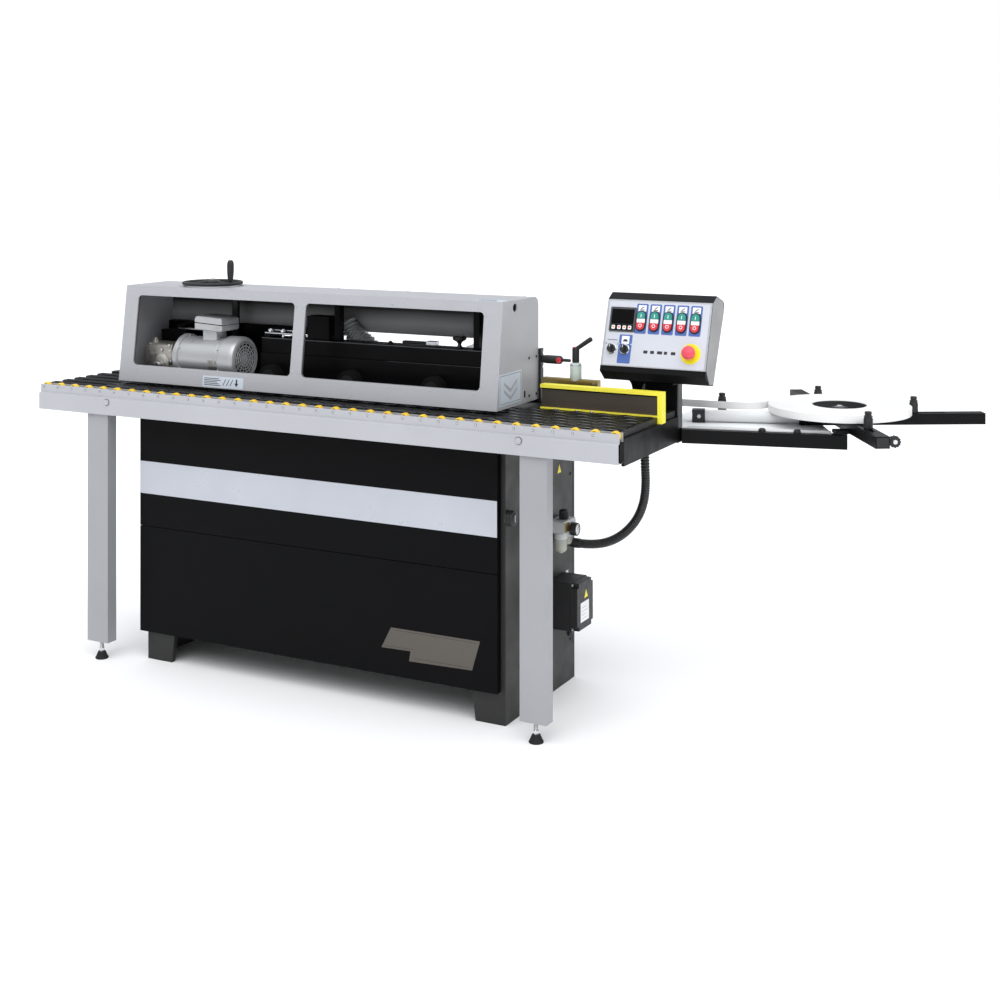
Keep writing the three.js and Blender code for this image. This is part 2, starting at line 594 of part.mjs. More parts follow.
const knobShaft = rod("x", 5, KNOB.x + GAP, KNOB.x + 12, KNOB.y, lapLevel, 12);
const knobHead = rod("x", KNOB.radius, KNOB.x + 10, KNOB.x + 28, KNOB.y, lapLevel, 10);
add("star_knob", knobShaft.add(knobHead), blackPlastic, crossGroup);

function trayBody() {
  const edge = outline([[2057.5, 476], [2480, 580], [2395, 745], [1975, 830], [1975, 486], [2057.5, 486]]);
  return prism("z", edge, FRONT_ARM.z1 + GAP, SUPPORT.z0 - GAP);
}

add("tape_tray", trayBody(), whiteTape);

// ---------- origin on the floor under the middle of the machine ----------
const extent = new THREE.Box3().setFromObject(machine);
const centre = extent.getCenter(new THREE.Vector3());
machine.position.set(-centre.x, -centre.y, -extent.min.z);

export default machine;
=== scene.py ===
"""Edge banding machine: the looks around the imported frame.

Lengths are machine millimetres: x along the table from the first roller, y back from the
rail's front face, z up from the floor. place() turns them into the frame's metres.
"""
import math

import bmesh
import bpy
from mathutils import Matrix, Vector


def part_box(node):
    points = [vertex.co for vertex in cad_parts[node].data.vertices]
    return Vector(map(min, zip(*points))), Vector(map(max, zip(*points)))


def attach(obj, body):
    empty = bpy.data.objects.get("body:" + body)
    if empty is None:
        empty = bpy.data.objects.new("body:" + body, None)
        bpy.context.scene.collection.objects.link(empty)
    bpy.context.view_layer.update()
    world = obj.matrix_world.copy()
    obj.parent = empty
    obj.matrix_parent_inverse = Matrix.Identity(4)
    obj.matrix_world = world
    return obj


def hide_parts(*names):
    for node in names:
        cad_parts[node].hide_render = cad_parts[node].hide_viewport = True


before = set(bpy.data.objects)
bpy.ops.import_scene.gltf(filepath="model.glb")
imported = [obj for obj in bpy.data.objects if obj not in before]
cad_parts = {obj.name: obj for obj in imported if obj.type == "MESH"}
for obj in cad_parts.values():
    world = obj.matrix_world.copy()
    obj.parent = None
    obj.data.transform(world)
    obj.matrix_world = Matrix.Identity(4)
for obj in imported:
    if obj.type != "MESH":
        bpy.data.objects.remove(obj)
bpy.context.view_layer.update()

RAIL_X0 = -13.5
RAIL_Y0 = -12.0
rail_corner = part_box("roller_rail")[0]


def place(x, y, z):
    """A point in machine millimetres, as a point in the frame in metres."""
    return Vector((
        rail_corner[0] + (x - RAIL_X0) / 1000,
        rail_corner[1] + (y - RAIL_Y0) / 1000,
        z / 1000,
    ))


# ---------- camera, light and floor ----------
def add_camera():
    data = bpy.data.cameras.new("camera")
    data.lens = 54.144
    data.sensor_width = 36
    data.shift_y = -0.3327
    camera = bpy.data.objects.new("camera", data)
    camera.location = place(3620.9, -3729.9, 1594.5)
    camera.rotation_euler = (math.radians(90), 0, math.radians(27.28))
    bpy.context.scene.collection.objects.link(camera)
    bpy.context.scene.camera = camera


def add_world():
    """White to the camera; for light, a sky that is bright overhead and dim at the horizon."""
    world = bpy.data.worlds.new("studio")
    world.use_nodes = True
    nodes, links = world.node_tree.nodes, world.node_tree.links
    nodes.clear()
    seen = nodes.new("ShaderNodeBackground")
    seen.inputs["Color"].default_value = (1, 1, 1, 1)
    fill = nodes.new("ShaderNodeBackground")
    fill.inputs["Color"].default_value = (0.95, 0.97, 1.0, 1)
    where = nodes.new("ShaderNodeTexCoord")
    split = nodes.new("ShaderNodeSeparateXYZ")
    height = nodes.new("ShaderNodeMapRange")
    height.interpolation_type = "SMOOTHSTEP"
    for socket, value in (("From Min", 0.0), ("From Max", 0.75), ("To Min", 0.22),
            ("To Max", 1.25)):
        height.inputs[socket].default_value = value
    path = nodes.new("ShaderNodeLightPath")
    mix = nodes.new("ShaderNodeMixShader")
    out = nodes.new("ShaderNodeOutputWorld")
    links.new(where.outputs["Generated"], split.inputs[0])
    links.new(split.outputs["Z"], height.inputs["Value"])
    links.new(height.outputs[0], fill.inputs["Strength"])
    links.new(path.outputs["Is Camera Ray"], mix.inputs[0])
    links.new(fill.outputs[0], mix.inputs[1])
    links.new(seen.outputs[0], mix.inputs[2])
    links.new(mix.outputs[0], out.inputs[0])
    bpy.context.scene.world = world


def add_sun(name, direction, strength, angle):
    data = bpy.data.lights.new(name, "SUN")
    data.energy = strength
    data.angle = math.radians(angle)
    sun = bpy.data.objects.new(name, data)
    sun.rotation_euler = Vector(direction).to_track_quat("-Z", "Y").to_euler()
    bpy.context.scene.collection.objects.link(sun)


def add_floor():
    mesh = bpy.data.meshes.new("studio_floor")
    half = 60.0
    mesh.from_pydata([(-half, -half, 0), (half, -half, 0), (half, half, 0), (-half, half, 0)], [],
        [(0, 1, 2, 3)])
    floor = bpy.data.objects.new("studio_floor", mesh)
    bpy.context.scene.collection.objects.link(floor)
    mat = bpy.data.materials.new("studio_floor")
    mat.use_nodes = True
    nodes, links = mat.node_tree.nodes, mat.node_tree.links
    shader = nodes["Principled BSDF"]
    shader.inputs["Roughness"].default_value = 0.9
    shader.inputs["Specular IOR Level"].default_value = 0.1
    cloud = nodes.new("ShaderNodeTexNoise")
    cloud.inputs["Scale"].default_value = 0.6
    ramp = nodes.new("ShaderNodeMapRange")
    ramp.inputs["To Min"].default_value = 0.93
    ramp.inputs["To Max"].default_value = 0.95
    links.new(cloud.outputs["Fac"], ramp.inputs["Value"])
    links.new(ramp.outputs[0], shader.inputs["Base Color"])
    mesh.materials.append(mat)


add_camera()
add_world()
add_floor()
add_sun("front_sun", (-0.15, 0.75, -0.95), 1.1, 50)
add_sun("right_sun", (-0.85, 0.25, -0.8), 0.55, 50)
bpy.context.scene.view_settings.view_transform = "Standard"


# ---------- materials ----------
class Material:
    """A Principled material with helpers for textures in frame coordinates."""

    def __init__(self, name, roughness=0.5, metallic=0.0, specular=0.5, coat=0.0):
        self.mat = bpy.data.materials.new(name)
        self.mat.use_nodes = True
        self.nodes = self.mat.node_tree.nodes
        self.links = self.mat.node_tree.links
        self.shader = self.nodes["Principled BSDF"]
        self.shader.inputs["Metallic"].default_value = metallic
        self.shader.inputs["Roughness"].default_value = roughness
        self.shader.inputs["Specular IOR Level"].default_value = specular
        self.shader.inputs["Coat Weight"].default_value = coat
        self.shader.inputs["Coat Roughness"].default_value = 0.15
        self.where = self.nodes.new("ShaderNodeTexCoord").outputs["Object"]
        self.heights = []

    def stretched(self, scale):
        mapping = self.nodes.new("ShaderNodeMapping")
        mapping.inputs["Scale"].default_value = scale
        self.links.new(self.where, mapping.inputs["Vector"])
        return mapping.outputs[0]

    def noise(self, scale, detail=3.0, rough=0.5, stretch=None):
        node = self.nodes.new("ShaderNodeTexNoise")
        node.inputs["Scale"].default_value = scale
        node.inputs["Detail"].default_value = detail
        node.inputs["Roughness"].default_value = rough
        self.links.new(self.stretched(stretch) if stretch else self.where, node.inputs["Vector"])
        return node.outputs["Fac"]

    def ranged(self, value, low, high, from_min=0.3, from_max=0.7):
        node = self.nodes.new("ShaderNodeMapRange")
        node.inputs["From Min"].default_value = from_min
        node.inputs["From Max"].default_value = from_max
        node.inputs["To Min"].default_value = low
        node.inputs["To Max"].default_value = high
        self.links.new(value, node.inputs["Value"])
        return node.outputs[0]

    def mixed(self, factor, first, second):
        node = self.nodes.new("ShaderNodeMix")
        node.data_type = "RGBA"
        self.links.new(factor, node.inputs[0])
        for socket, color in ((node.inputs[6], first), (node.inputs[7], second)):
            if isinstance(color, tuple):
                socket.default_value = (*color, 1)
            else:
                self.links.new(color, socket)
        return node.outputs[2]

    def color(self, first, second, scale, second_scale=None):
        """Base colour that drifts between two tones, with a finer drift on top."""
        out = self.mixed(self.ranged(self.noise(scale), 0, 1), first, second)
        if second_scale:
            fine = self.ranged(self.noise(second_scale, 1.0), 0, 1, 0.35, 0.65)
            out = self.mixed(fine, out, tuple(c * 0.9 for c in first))
        self.links.new(out, self.shader.inputs["Base Color"])
        return self

    def rough(self, low, high, scale, stretch=None):
        self.links.new(self.ranged(self.noise(scale, stretch=stretch), low, high),
            self.shader.inputs["Roughness"])
        return self

    def bump(self, height, strength, distance):
        node = self.nodes.new("ShaderNodeBump")
        node.inputs["Strength"].default_value = strength
        node.inputs["Distance"].default_value = distance
        self.links.new(height, node.inputs["Height"])
        if self.heights:
            self.links.new(self.heights[-1], node.inputs["Normal"])
        self.heights.append(node.outputs[0])
        self.links.new(node.outputs[0], self.shader.inputs["Normal"])
        return self


def shade(color, k):
    return tuple(min(1.0, c * k) for c in color)


def painted(name, color, roughness, specular=0.4, grain=700, strength=0.12, speckle=None,
        metallic=0.0):
    """Enamel or powder coat: slow drift of tone, orange-peel grain and uneven gloss."""
    m = Material(name, roughness, metallic, specular)
    m.color(color, shade(color, 1.09), 2.5, speckle)
    m.rough(roughness - 0.07, roughness + 0.08, 14)
    m.bump(m.noise(grain, 2.0), strength, 0.0006)
    return m.mat


def foil(name, color, roughness):
    return painted(name, color, roughness, grain=1500, strength=0.04)


def moulded(name, color, roughness=0.45, specular=0.4, grain=1500, strength=0.08):
    """Moulded plastic with a fine grain and faint handling marks."""
    m = Material(name, roughness, 0, specular)
    m.color(color, shade(color, 1.15), 12, 500)
    m.rough(roughness - 0.08, roughness + 0.1, 60)
    m.bump(m.noise(grain, 1.0), strength, 0.0003)
    return m.mat


def metal(name, color, roughness, stretch=None, scale=300, strength=0.05):
    """Ground or cast metal: streaks along one axis where stretch is given."""
    m = Material(name, roughness, 1.0, 0.5)
    streaks = m.noise(scale, 4.0, 0.6, stretch)
    m.links.new(m.mixed(m.ranged(streaks, 0, 1), shade(color, 0.86), shade(color, 1.1)),
        m.shader.inputs["Base Color"])
    m.rough(roughness - 0.08, roughness + 0.1, scale / 2, stretch)
    m.bump(streaks, strength, 0.0002)
    return m.mat


def clear(name, color, roughness, alpha):
    """See-through plastic."""
    m = Material(name, roughness, 0, 0.5)
    m.color(color, shade(color, 0.97), 8)
    m.rough(roughness, roughness + 0.06, 30)
    m.shader.inputs["Alpha"].default_value = alpha
    m.bump(m.noise(20, 1.0), 0.02, 0.0004)
    return m.mat


GREY = (0.43, 0.435, 0.46)
grey = painted("grey_enamel", GREY, 0.42, grain=900, strength=0.10)
hammered = painted("hammered_grey", GREY, 0.42, grain=420, strength=0.28, speckle=650)
# Painted shade: the grey enamel darkened for the legs, which get less light near the floor.
leg_shaded_grey = painted("leg_enamel_painted_shade", tuple(0.76 * c for c in GREY), 0.42, grain=900, strength=0.10)
# Painted shade: a dark grey for the window lips, which stand inside the hood in its shadow.
lip_shade_grey = painted("lip_painted_shade", (0.10, 0.10, 0.105), 0.5, specular=0.2)
black = painted("black_enamel", (0.0035, 0.0035, 0.004), 0.36, specular=0.06, grain=800)
satin = painted("black_satin", (0.005, 0.005, 0.0055), 0.42, specular=0.12, grain=900)
side_black = painted("black_textured", (0.017, 0.0168, 0.0165), 0.48, specular=0.4, grain=1100,
    strength=0.2)
cast_black = painted("black_casting", (0.014, 0.014, 0.015), 0.42, specular=0.35, grain=500,
    strength=0.2)
plastic = moulded("black_plastic", (0.018, 0.018, 0.019))
yellow = painted("yellow_enamel", (1.0, 0.86, 0.07), 0.36, grain=600)
roller_yellow = moulded("roller_yellow", (0.86, 0.56, 0.035), 0.35)
bronze = painted("bronze_steel", (0.105, 0.088, 0.07), 0.42, specular=0.5, grain=350, strength=0.15,
    metallic=0.6)
gold = metal("brass_bar", (0.42, 0.32, 0.14), 0.35, (1, 1, 12))
chrome = metal("chromed_steel", (0.72, 0.73, 0.75), 0.18, scale=500)
bolt_steel = metal("bolt_steel", (0.50, 0.50, 0.51), 0.3, scale=260)
# Dark rings: painted shadow round each roller pin head, and the dark ring under each rail bolt.
pin_shadow = painted("pin_head_shade_and_bolt_ring", (0.16, 0.16, 0.17), 0.5)
ground = metal("ground_steel", (0.55, 0.56, 0.58), 0.3, (1, 30, 30))
motor_grey = painted("motor_enamel", (0.43, 0.44, 0.45), 0.33, specular=0.5, grain=900,
    metallic=0.35)
gear_alu = metal("cast_aluminium", (0.50, 0.48, 0.44), 0.42, scale=220, strength=0.25)
rubber = moulded("black_rubber", (0.016, 0.016, 0.016), 0.75, 0.25, 900, 0.2)
dark_rubber = moulded("feed_rubber", (0.006, 0.006, 0.006), 0.8, 0.08, 900, 0.2)
hose_black = moulded("hose_black", (0.020, 0.020, 0.021), 0.36, 0.5, 900, 0.1)
white = painted("white_enamel", (0.80, 0.81, 0.82), 0.5, specular=0.2, grain=1200, strength=0.05)
clear_bowl = clear("clear_bowl", (0.80, 0.84, 0.82), 0.12, 0.42)
face_foil = foil("console_foil", (0.58, 0.60, 0.66), 0.4)
blue_foil = foil("blue_foil", (0.075, 0.14, 0.42), 0.4)
white_foil = foil("white_foil", (0.82, 0.83, 0.84), 0.45)
label_foil = foil("label_foil", (0.56, 0.62, 0.69), 0.4)
ink = foil("dark_ink", (0.03, 0.03, 0.035), 0.5)
glass_black = moulded("display_glass", (0.003, 0.003, 0.0035), 0.2, 0.08, 500, 0.02)
green = moulded("green_cap", (0.03, 0.30, 0.245), 0.32)
red = moulded("red_cap", (0.70, 0.045, 0.065), 0.32)
stop_red = moulded("stop_red", (0.82, 0.085, 0.13), 0.35)
ring_yellow = moulded("ring_yellow", (0.93, 0.80, 0.02), 0.4)
key_orange = moulded("key_orange", (0.85, 0.35, 0.05), 0.4)
stripe_mat = painted("silver_stripe", (0.47, 0.49, 0.54), 0.33, metallic=0.2, grain=1500,
    strength=0.05)
badge_mat = metal("badge_foil", (0.135, 0.122, 0.108), 0.34, (1, 1, 20), 200)
# Near-black for seams and joints, and painted shade in the rail channel, its open end, slots,
# louvres, behind the fan grille and in the fence gap.
seam_black_and_painted_shade = moulded("seam_black_and_painted_shade", (0.006, 0.006, 0.006), 0.7, 0.1)


def tape_material():
    """Edging strip seen edge-on: fine turns round the coil's middle."""
    m = Material("white_edging", 0.42, 0, 0.4)
    m.color((0.80, 0.80, 0.79), (0.86, 0.86, 0.855), 9)
    wave = m.nodes.new("ShaderNodeTexWave")
    wave.wave_type = "RINGS"
    wave.rings_direction = "Z"
    wave.inputs["Scale"].default_value = 160
    wave.inputs["Distortion"].default_value = 1.2
    wave.inputs["Detail"].default_value = 1.0
    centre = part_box("tape_coil")
    middle = [(a + b) / 2 for a, b in zip(*centre)]
    mapping = m.nodes.new("ShaderNodeMapping")
    mapping.inputs["Location"].default_value = [-c for c in middle]
    m.links.new(m.where, mapping.inputs["Vector"])
    m.links.new(mapping.outputs[0], wave.inputs["Vector"])
    m.rough(0.36, 0.5, 40)
    m.bump(wave.outputs["Fac"], 0.35, 0.0004)
    return m.mat


edging = tape_material()


def arc(cx, cy, r, start, end, steps=6):
    """Points on an arc, angles in degrees."""
    out = []
    for i in range(steps + 1):
        a = math.radians(start + (end - start) * i / steps)
        out.append((cx + r * math.cos(a), cy + r * math.sin(a)))
    return out


def turned(x, y, z, degrees=0, axis="Z"):
    """A placement at a point, turned about one axis."""
    return Matrix.Translation((x, y, z)) @ Matrix.Rotation(math.radians(degrees), 4, axis)


def rounded(a0, a1, b0, b1, r, steps=5):
    """A rounded rectangle's outline."""
    return (arc(a0 + r, b0 + r, r, 180, 270, steps) + arc(a1 - r, b0 + r, r, 270, 360, steps) +
        arc(a1 - r, b1 - r, r, 0, 90, steps) + arc(a0 + r, b1 - r, r, 90, 180, steps))


class Shape:
    """Closed solids gathered in one mesh, in machine millimetres, turned by `turn`."""

    def __init__(self, turn=None):
        self.turn = turn or Matrix.Identity(4)
        self.verts, self.faces, self.slots = [], [], []
        self.slot = 0

    def take(self, verts, faces):
        start = len(self.verts)
        self.verts += [self.turn @ Vector(v) for v in verts]
        self.faces += [[start + i for i in f] for f in faces]
        self.slots += [self.slot] * len(faces)
        return self

    def use(self, slot):
        self.slot = slot
        return self

    def prism(self, axis, points, a, b):
        put = {
            "x": lambda p, d: (d, p[0], p[1]),
            "y": lambda p, d: (p[0], d, p[1]),
            "z": lambda p, d: (p[0], p[1], d),
        }[axis]
        return self.sweep([[put(p, d) for p in points] for d in (a, b)])

    def sweep(self, sections):
        """Joins matching closed sections end to end and caps both ends."""
        n, last = len(sections[0]), len(sections) - 1
        faces = [list(range(n)), list(range((last + 1) * n - 1, last * n - 1, -1))]
        faces += [(i * n + k, i * n + (k + 1) % n, (i + 1) * n + (k + 1) % n, (i + 1) * n + k)
            for i in range(last) for k in range(n)]
        return self.take([v for section in sections for v in section], faces)

    def loops(self, rings):
        """Closes a frame from four matching loops of points."""
        n = len(rings[0])
        pairs = ((0, 1), (1, 2), (2, 3), (3, 0))
        faces = [(a * n + i, a * n + (i + 1) % n, b * n + (i + 1) % n, b * n + i)
            for a, b in pairs for i in range(n)]
        return self.take([v for ring in rings for v in ring], faces)

    def box(self, x0, x1, y0, y1, z0, z1):
        return self.prism("z", [(x0, y0), (x1, y0), (x1, y1), (x0, y1)], z0, z1)

    def lathe(self, axis, profile, u, v, sides=40, hollow=False):
        """Turns (radius, distance) pairs about an axis through u, v.

        A hollow profile closes on itself; any other closes to the axis at both ends.
        """
        if hollow:
            profile = profile + profile[:1]
        else:
            profile = [(0, profile[0][1]), *profile, (0, profile[-1][1])]
        put = {
            "x": lambda a, b, d: (d, u + a, v + b),
            "y": lambda a, b, d: (u + a, d, v + b),
            "z": lambda a, b, d: (u + a, v + b, d),
        }[axis]
        verts, rings = [], []
        for r, d in profile:
            if r < 1e-6:
                rings.append([len(verts)] * sides)
                verts.append(put(0, 0, d))
            else:
                rings.append(list(range(len(verts), len(verts) + sides)))
                for k in range(sides):
                    t = 2 * math.pi * k / sides
                    verts.append(put(r * math.cos(t), r * math.sin(t), d))
        faces = []
        for low, high in zip(rings, rings[1:]):
            for k in range(sides):
                m = (k + 1) % sides
                face = []
                for index in (low[k], low[m], high[m], high[k]):
                    if index not in face:
                        face.append(index)
                if len(face) > 2:
                    faces.append(face)
        return self.take(verts, faces)

    def rod(self, axis, r, a, b, u, v, sides=28, chamfer=0.0):
        c = chamfer
        rim = [(r, a + c), (r, b - c)] if c else []
        return self.lathe(axis, [(r - c, a), *rim, (r - c, b)], u, v, sides)

    def torus(self, axis, big, small, d, u, v, sides, around):
        profile = [(big + small * math.cos(t), d + small * math.sin(t))
            for t in (2 * math.pi * k / around for k in range(around))]
        return self.lathe(axis, profile, u, v, sides, hollow=True)

    def tube(self, path, radius, sides=12):
        """A round bar along a list of points."""
        points = [Vector(p) for p in path]
        sections, n = [], len(points)
        normal = None
        for i, p in enumerate(points):
            ahead = (points[min(i + 1, n - 1)] - points[max(i - 1, 0)]).normalized()
            if normal is None:
                normal = ahead.orthogonal().normalized()
            normal = (normal - ahead * normal.dot(ahead)).normalized()
            other = ahead.cross(normal)
            r = radius(i / (n - 1)) if callable(radius) else radius
            turns = [2 * math.pi * k / sides for k in range(sides)]
            sections.append([p + normal * (r * math.cos(t)) + other * (r * math.sin(t)) for t in
                turns])
        return self.sweep(sections)


def piece(name, shape, materials, body="frame", bevel=0.0, segments=2, replaces=(),
        smooth=35):
    """Makes one visible piece from a Shape and lets it ride on a body.

    replaces lists the CAD nodes it stands for; True is the node with its body's name.
    """
    mesh = bpy.data.meshes.new(name)
    bm = bmesh.new()
    verts = [bm.verts.new(place(*v)) for v in shape.verts]
    for face, material_index in zip(shape.faces, shape.slots):
        made = bm.faces.new([verts[i] for i in face])
        made.material_index = material_index
        made.smooth = True
    bmesh.ops.remove_doubles(bm, verts=bm.verts, dist=1e-6)
    bmesh.ops.recalc_face_normals(bm, faces=bm.faces)
    bm.to_mesh(mesh)
    bm.free()
    mesh.set_sharp_from_angle(angle=math.radians(smooth))
    for material in (materials if isinstance(materials, (list, tuple)) else [materials]):
        mesh.materials.append(material)
    obj = bpy.data.objects.new(name, mesh)
    bpy.context.scene.collection.objects.link(obj)
    if bevel:
        soften(obj, bevel, segments)
    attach(obj, body)
    if replaces:
        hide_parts(*([body] if replaces is True else replaces))
    return obj


def soften(obj, width, segments=2):
    """Bevels an object's sharp edges by a width in millimetres."""
    mod = obj.modifiers.new("bevel", "BEVEL")
    mod.width = width / 1000
    mod.segments = segments
    mod.limit_method = "ANGLE"
    mod.angle_limit = math.radians(40)
    mod.harden_normals = True


def dress(node, material, bevel=0.0):
    """Gives a CAD node its material and softened edges."""
    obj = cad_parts[node]
    obj.data.materials.clear()
    obj.data.materials.append(material)
    for face in obj.data.polygons:
        face.use_smooth = True
    obj.data.set_sharp_from_angle(angle=math.radians(35))
    if bevel:
        soften(obj, bevel)


# ---------- hose from the air unit to the table's underside ----------
HOSE_ROUTE = [
    (1742, 450, 450), (1765, 450, 451), (1795, 449, 455), (1825, 448, 463), (1852, 447, 475),
    (1877, 445, 491), (1899, 443, 510), (1918, 441, 531), (1934, 439, 555), (1946, 436, 580),
    (1955, 433, 608), (1960, 430, 637), (1962, 428, 668), (1962, 425, 702), (1962, 422, 740),
    (1962, 420, 770), (1962, 420, 800),
]
HOSE_DIAMETER = 0.028
HOSE_RIBS = 66


def smooth_path(points, steps):
    """Points on a Catmull-Rom curve through the given ones."""
    pts = [Vector(p) for p in points]
    pts = [2 * pts[0] - pts[1]] + pts + [2 * pts[-1] - pts[-2]]
    out = []
    for i in range(1, len(pts) - 2):
        p0, p1, p2, p3 = pts[i - 1:i + 3]
        for k in range(steps):
            t = k / steps
            out.append(0.5 * (2 * p1 + (p2 - p0) * t + (2 * p0 - 5 * p1 + 4 * p2 - p3) * t * t +
                (3 * p1 - p0 - 3 * p2 + p3) * t ** 3))
    out.append(pts[-2])
    return out


def add_hose():
    path = smooth_path(HOSE_ROUTE, 36)
    radius = HOSE_DIAMETER * 500

    def ribbed(t):
        return radius - 1.3 + 1.3 * math.sin(2 * math.pi * HOSE_RIBS * t)

    hose = piece("air_conduit", Shape().tube(path, ribbed, 24), hose_black,
        replaces=["air_hose"], smooth=80)


add_hose()

# ---------- materials of the CAD nodes, also under pieces that replace them ----------
for node, material, bevel in (
    ("cabinet", side_black, 2.0), ("lower_panel", black, 2.0), ("upper_door", black, 2.0),
    ("roller_rail", grey, 0.8), ("leg_left", leg_shaded_grey, 1.5), ("leg_right", leg_shaded_grey, 1.5),
    ("end_plate", satin, 1.0), ("fence_guard", yellow, 1.5), ("fence_plate", bronze, 1.0),
    ("hood", hammered, 1.0), ("pressure_beam", black, 1.5), ("column_left", cast_black, 0.6),
    ("column_right", cast_black, 0.6), ("console_post", satin, 2.0), ("front_arm", satin, 1.5),
    ("support_beam", satin, 1.5), ("cross_arm", satin, 1.5), ("coil_plate", cast_black, 1.0),
    ("tape_tray", white, 0.8), ("drive_shaft", ground, 0.8), ("motor_fan", plastic, 0.5),
    ("table_deck", cast_black, 1.0), ("console_box", satin, 2.0), ("junction_box", plastic, 1.5),
    ("air_unit", white, 1.0), ("regulator_knob", plastic, 1.0), ("lever_stand", gold, 0.8),
    ("lock_lever", plastic, 0.8), ("clamp_lever", plastic, 0.8), ("handwheel", plastic, 0.0),
    ("crank_grip", plastic, 0.0), ("tape_coil", edging, 0.8), ("star_knob", plastic, 1.0),
    ("feed_motor", motor_grey, 1.0), ("worm_gearbox", gear_alu, 1.5),
    ("emergency_stop", stop_red, 1.0), ("door_latch_knob", plastic, 1.0),
    ("foot_left", chrome, 0.5), ("foot_right", chrome, 0.5),
    ("roller_34", roller_yellow, 0.8), ("roller_35", roller_yellow, 0.8),
    ("feed_wheel_1", rubber, 1.0), ("feed_wheel_2", rubber, 1.0), ("feed_wheel_3", rubber, 1.0),
    ("selector_1", plastic, 0.6), ("selector_2", plastic, 0.6), ("peg_front", plastic, 0.8),
    ("peg_back", plastic, 0.8), ("peg_right", plastic, 0.8),
):
    dress(node, material, bevel)
for number in range(1, 6):
    dress(f"start_button_{number}", green, 0.6)
    dress(f"stop_button_{number}", red, 0.6)

# ---------- roller rail ----------
ROLLER_PITCH = 60.0
ROLLER_Z = 869.6


def add_rollers():
    """The other 33 rollers, on pins; the two nearest the feed end are CAD pieces that spin."""
    for number in range(1, 34):
        shape = roller_shape(max(ROLLER_PITCH * (number - 1), 1.7))
        piece(f"rail_roller_{number}", shape, [roller_yellow, cast_black], bevel=0.5)
    for number in (34, 35):
        piece(f"spin_roller_{number}", roller_shape(ROLLER_PITCH * (number - 1)),
            [roller_yellow, cast_black], body=f"roller_{number}", bevel=0.5, replaces=True)


def roller_shape(x):
    shape = Shape()
    shape.lathe("y", [(9.4, 7.4), (9.8, 6.6), (12.6, 7.4), (13.9, 10), (14.1, 13), (14.1, 19),
        (13.9, 22), (12.6, 24.6)], x, ROLLER_Z)
    shape.use(1)
    shape.lathe("y", [(7, 3.6), (7, 6.4), (9.2, 6.6), (9.2, 25.2), (7, 25.4), (7, 28.4)], x,
        ROLLER_Z, 20)
    return shape


def add_rail_details():
    pins = Shape()
    for number in range(1, 35):
        x = ROLLER_PITCH * (number - 1)
        # Each chrome pin head sits on a dark disc of painted shadow.
        pins.use(0).rod("y", 3.9, 0.5, -0.5, x, 869.4, 18)
        pins.use(1).lathe("y", [(2.5, 0), (2.5, -1.2), (1.4, -1.9), (0, -2.0)], x, 869.4, 16)
    piece("rail_pin_heads", pins, [pin_shadow, chrome])
    bolts = Shape()
    for x in (277, 1759):
        bolts.lathe("y", [(8.9, -8.0), (8.9, -9.4), (7.4, -11.6), (4.2, -11.9), (4.2, -9.6)], x,
            838, 32)
        bolts.use(1).rod("y", 11.4, -8.2, -8.7, x, 838, 32)
        bolts.use(0)
    piece("rail_bolt_heads", bolts, [bolt_steel, pin_shadow])
    # Painted shade: black plates fill the rail's channel and its open end, where the inside lies in
    # shadow.
    end = Shape()
    end.box(2056.8, 2057.5, 3.4, 31.9, 797.6, 852.5)
    end.box(2056.8, 2057.5, 28.8, 31.9, 852, 877.9)
    piece("rail_end_shade", end, seam_black_and_painted_shade)
    piece("rail_channel_painted_shade", Shape().box(-13, 2056, 4, 28.5, 800.5, 853), seam_black_and_painted_shade)
    spacers = Shape()
    for number in range(1, 35):
        x = ROLLER_PITCH * (number - 1) + 30
        spacers.prism("x", rounded(5, 27.5, 853, 874.5, 2), x - 13.5, x + 13.5)
    piece("rail_spacers", spacers, cast_black, bevel=0.8)


# ---------- table ----------
DECK_Z = 877.6
RIB_WAVE = 74  # from crest to crest along the table
RIB_HEIGHT = 2.9
RIB_ROLL = 1.2
RIB_PITCH = 43


def wave_row(shape, y0, y1, x0, x1, phase):
    """One embossed row of the table: a low flat crown that rolls gently along the table."""
    steps = int((x1 - x0) / 6)
    sections = []
    for i in range(steps + 1):
        x = x0 + (x1 - x0) * i / steps
        section = []
        for across, crown in ((0.0, 0.0), (0.12, 1.0), (0.88, 1.0), (1.0, 0.0)):
            roll = math.sin(2 * math.pi * x / RIB_WAVE + phase + 1.6 * across)
            z = DECK_Z + crown * (RIB_HEIGHT + RIB_ROLL * roll)
            section.append((x, y0 + (y1 - y0) * across, z))
        sections.append(section)
    shape.sweep(sections)


def rib_highlight_line(shape, y, x0, x1, phase):
    """Painted highlight along a rib's edge, wide on each crest and thin between crests."""
    steps = int((x1 - x0) / 4)
    sections = []
    for i in range(steps + 1):
        x = x0 + (x1 - x0) * i / steps
        along = 2 * math.pi * x / RIB_WAVE + phase
        half = 0.5 + 2.0 * max(0.0, math.sin(along))
        z = DECK_Z + RIB_HEIGHT + 0.05 + RIB_ROLL * math.sin(along + 0.2)
        sections.append([(x, y - half, z), (x, y + half, z), (x, y + half, z - 0.4),
            (x, y - half, z - 0.4)])
    shape.sweep(sections)


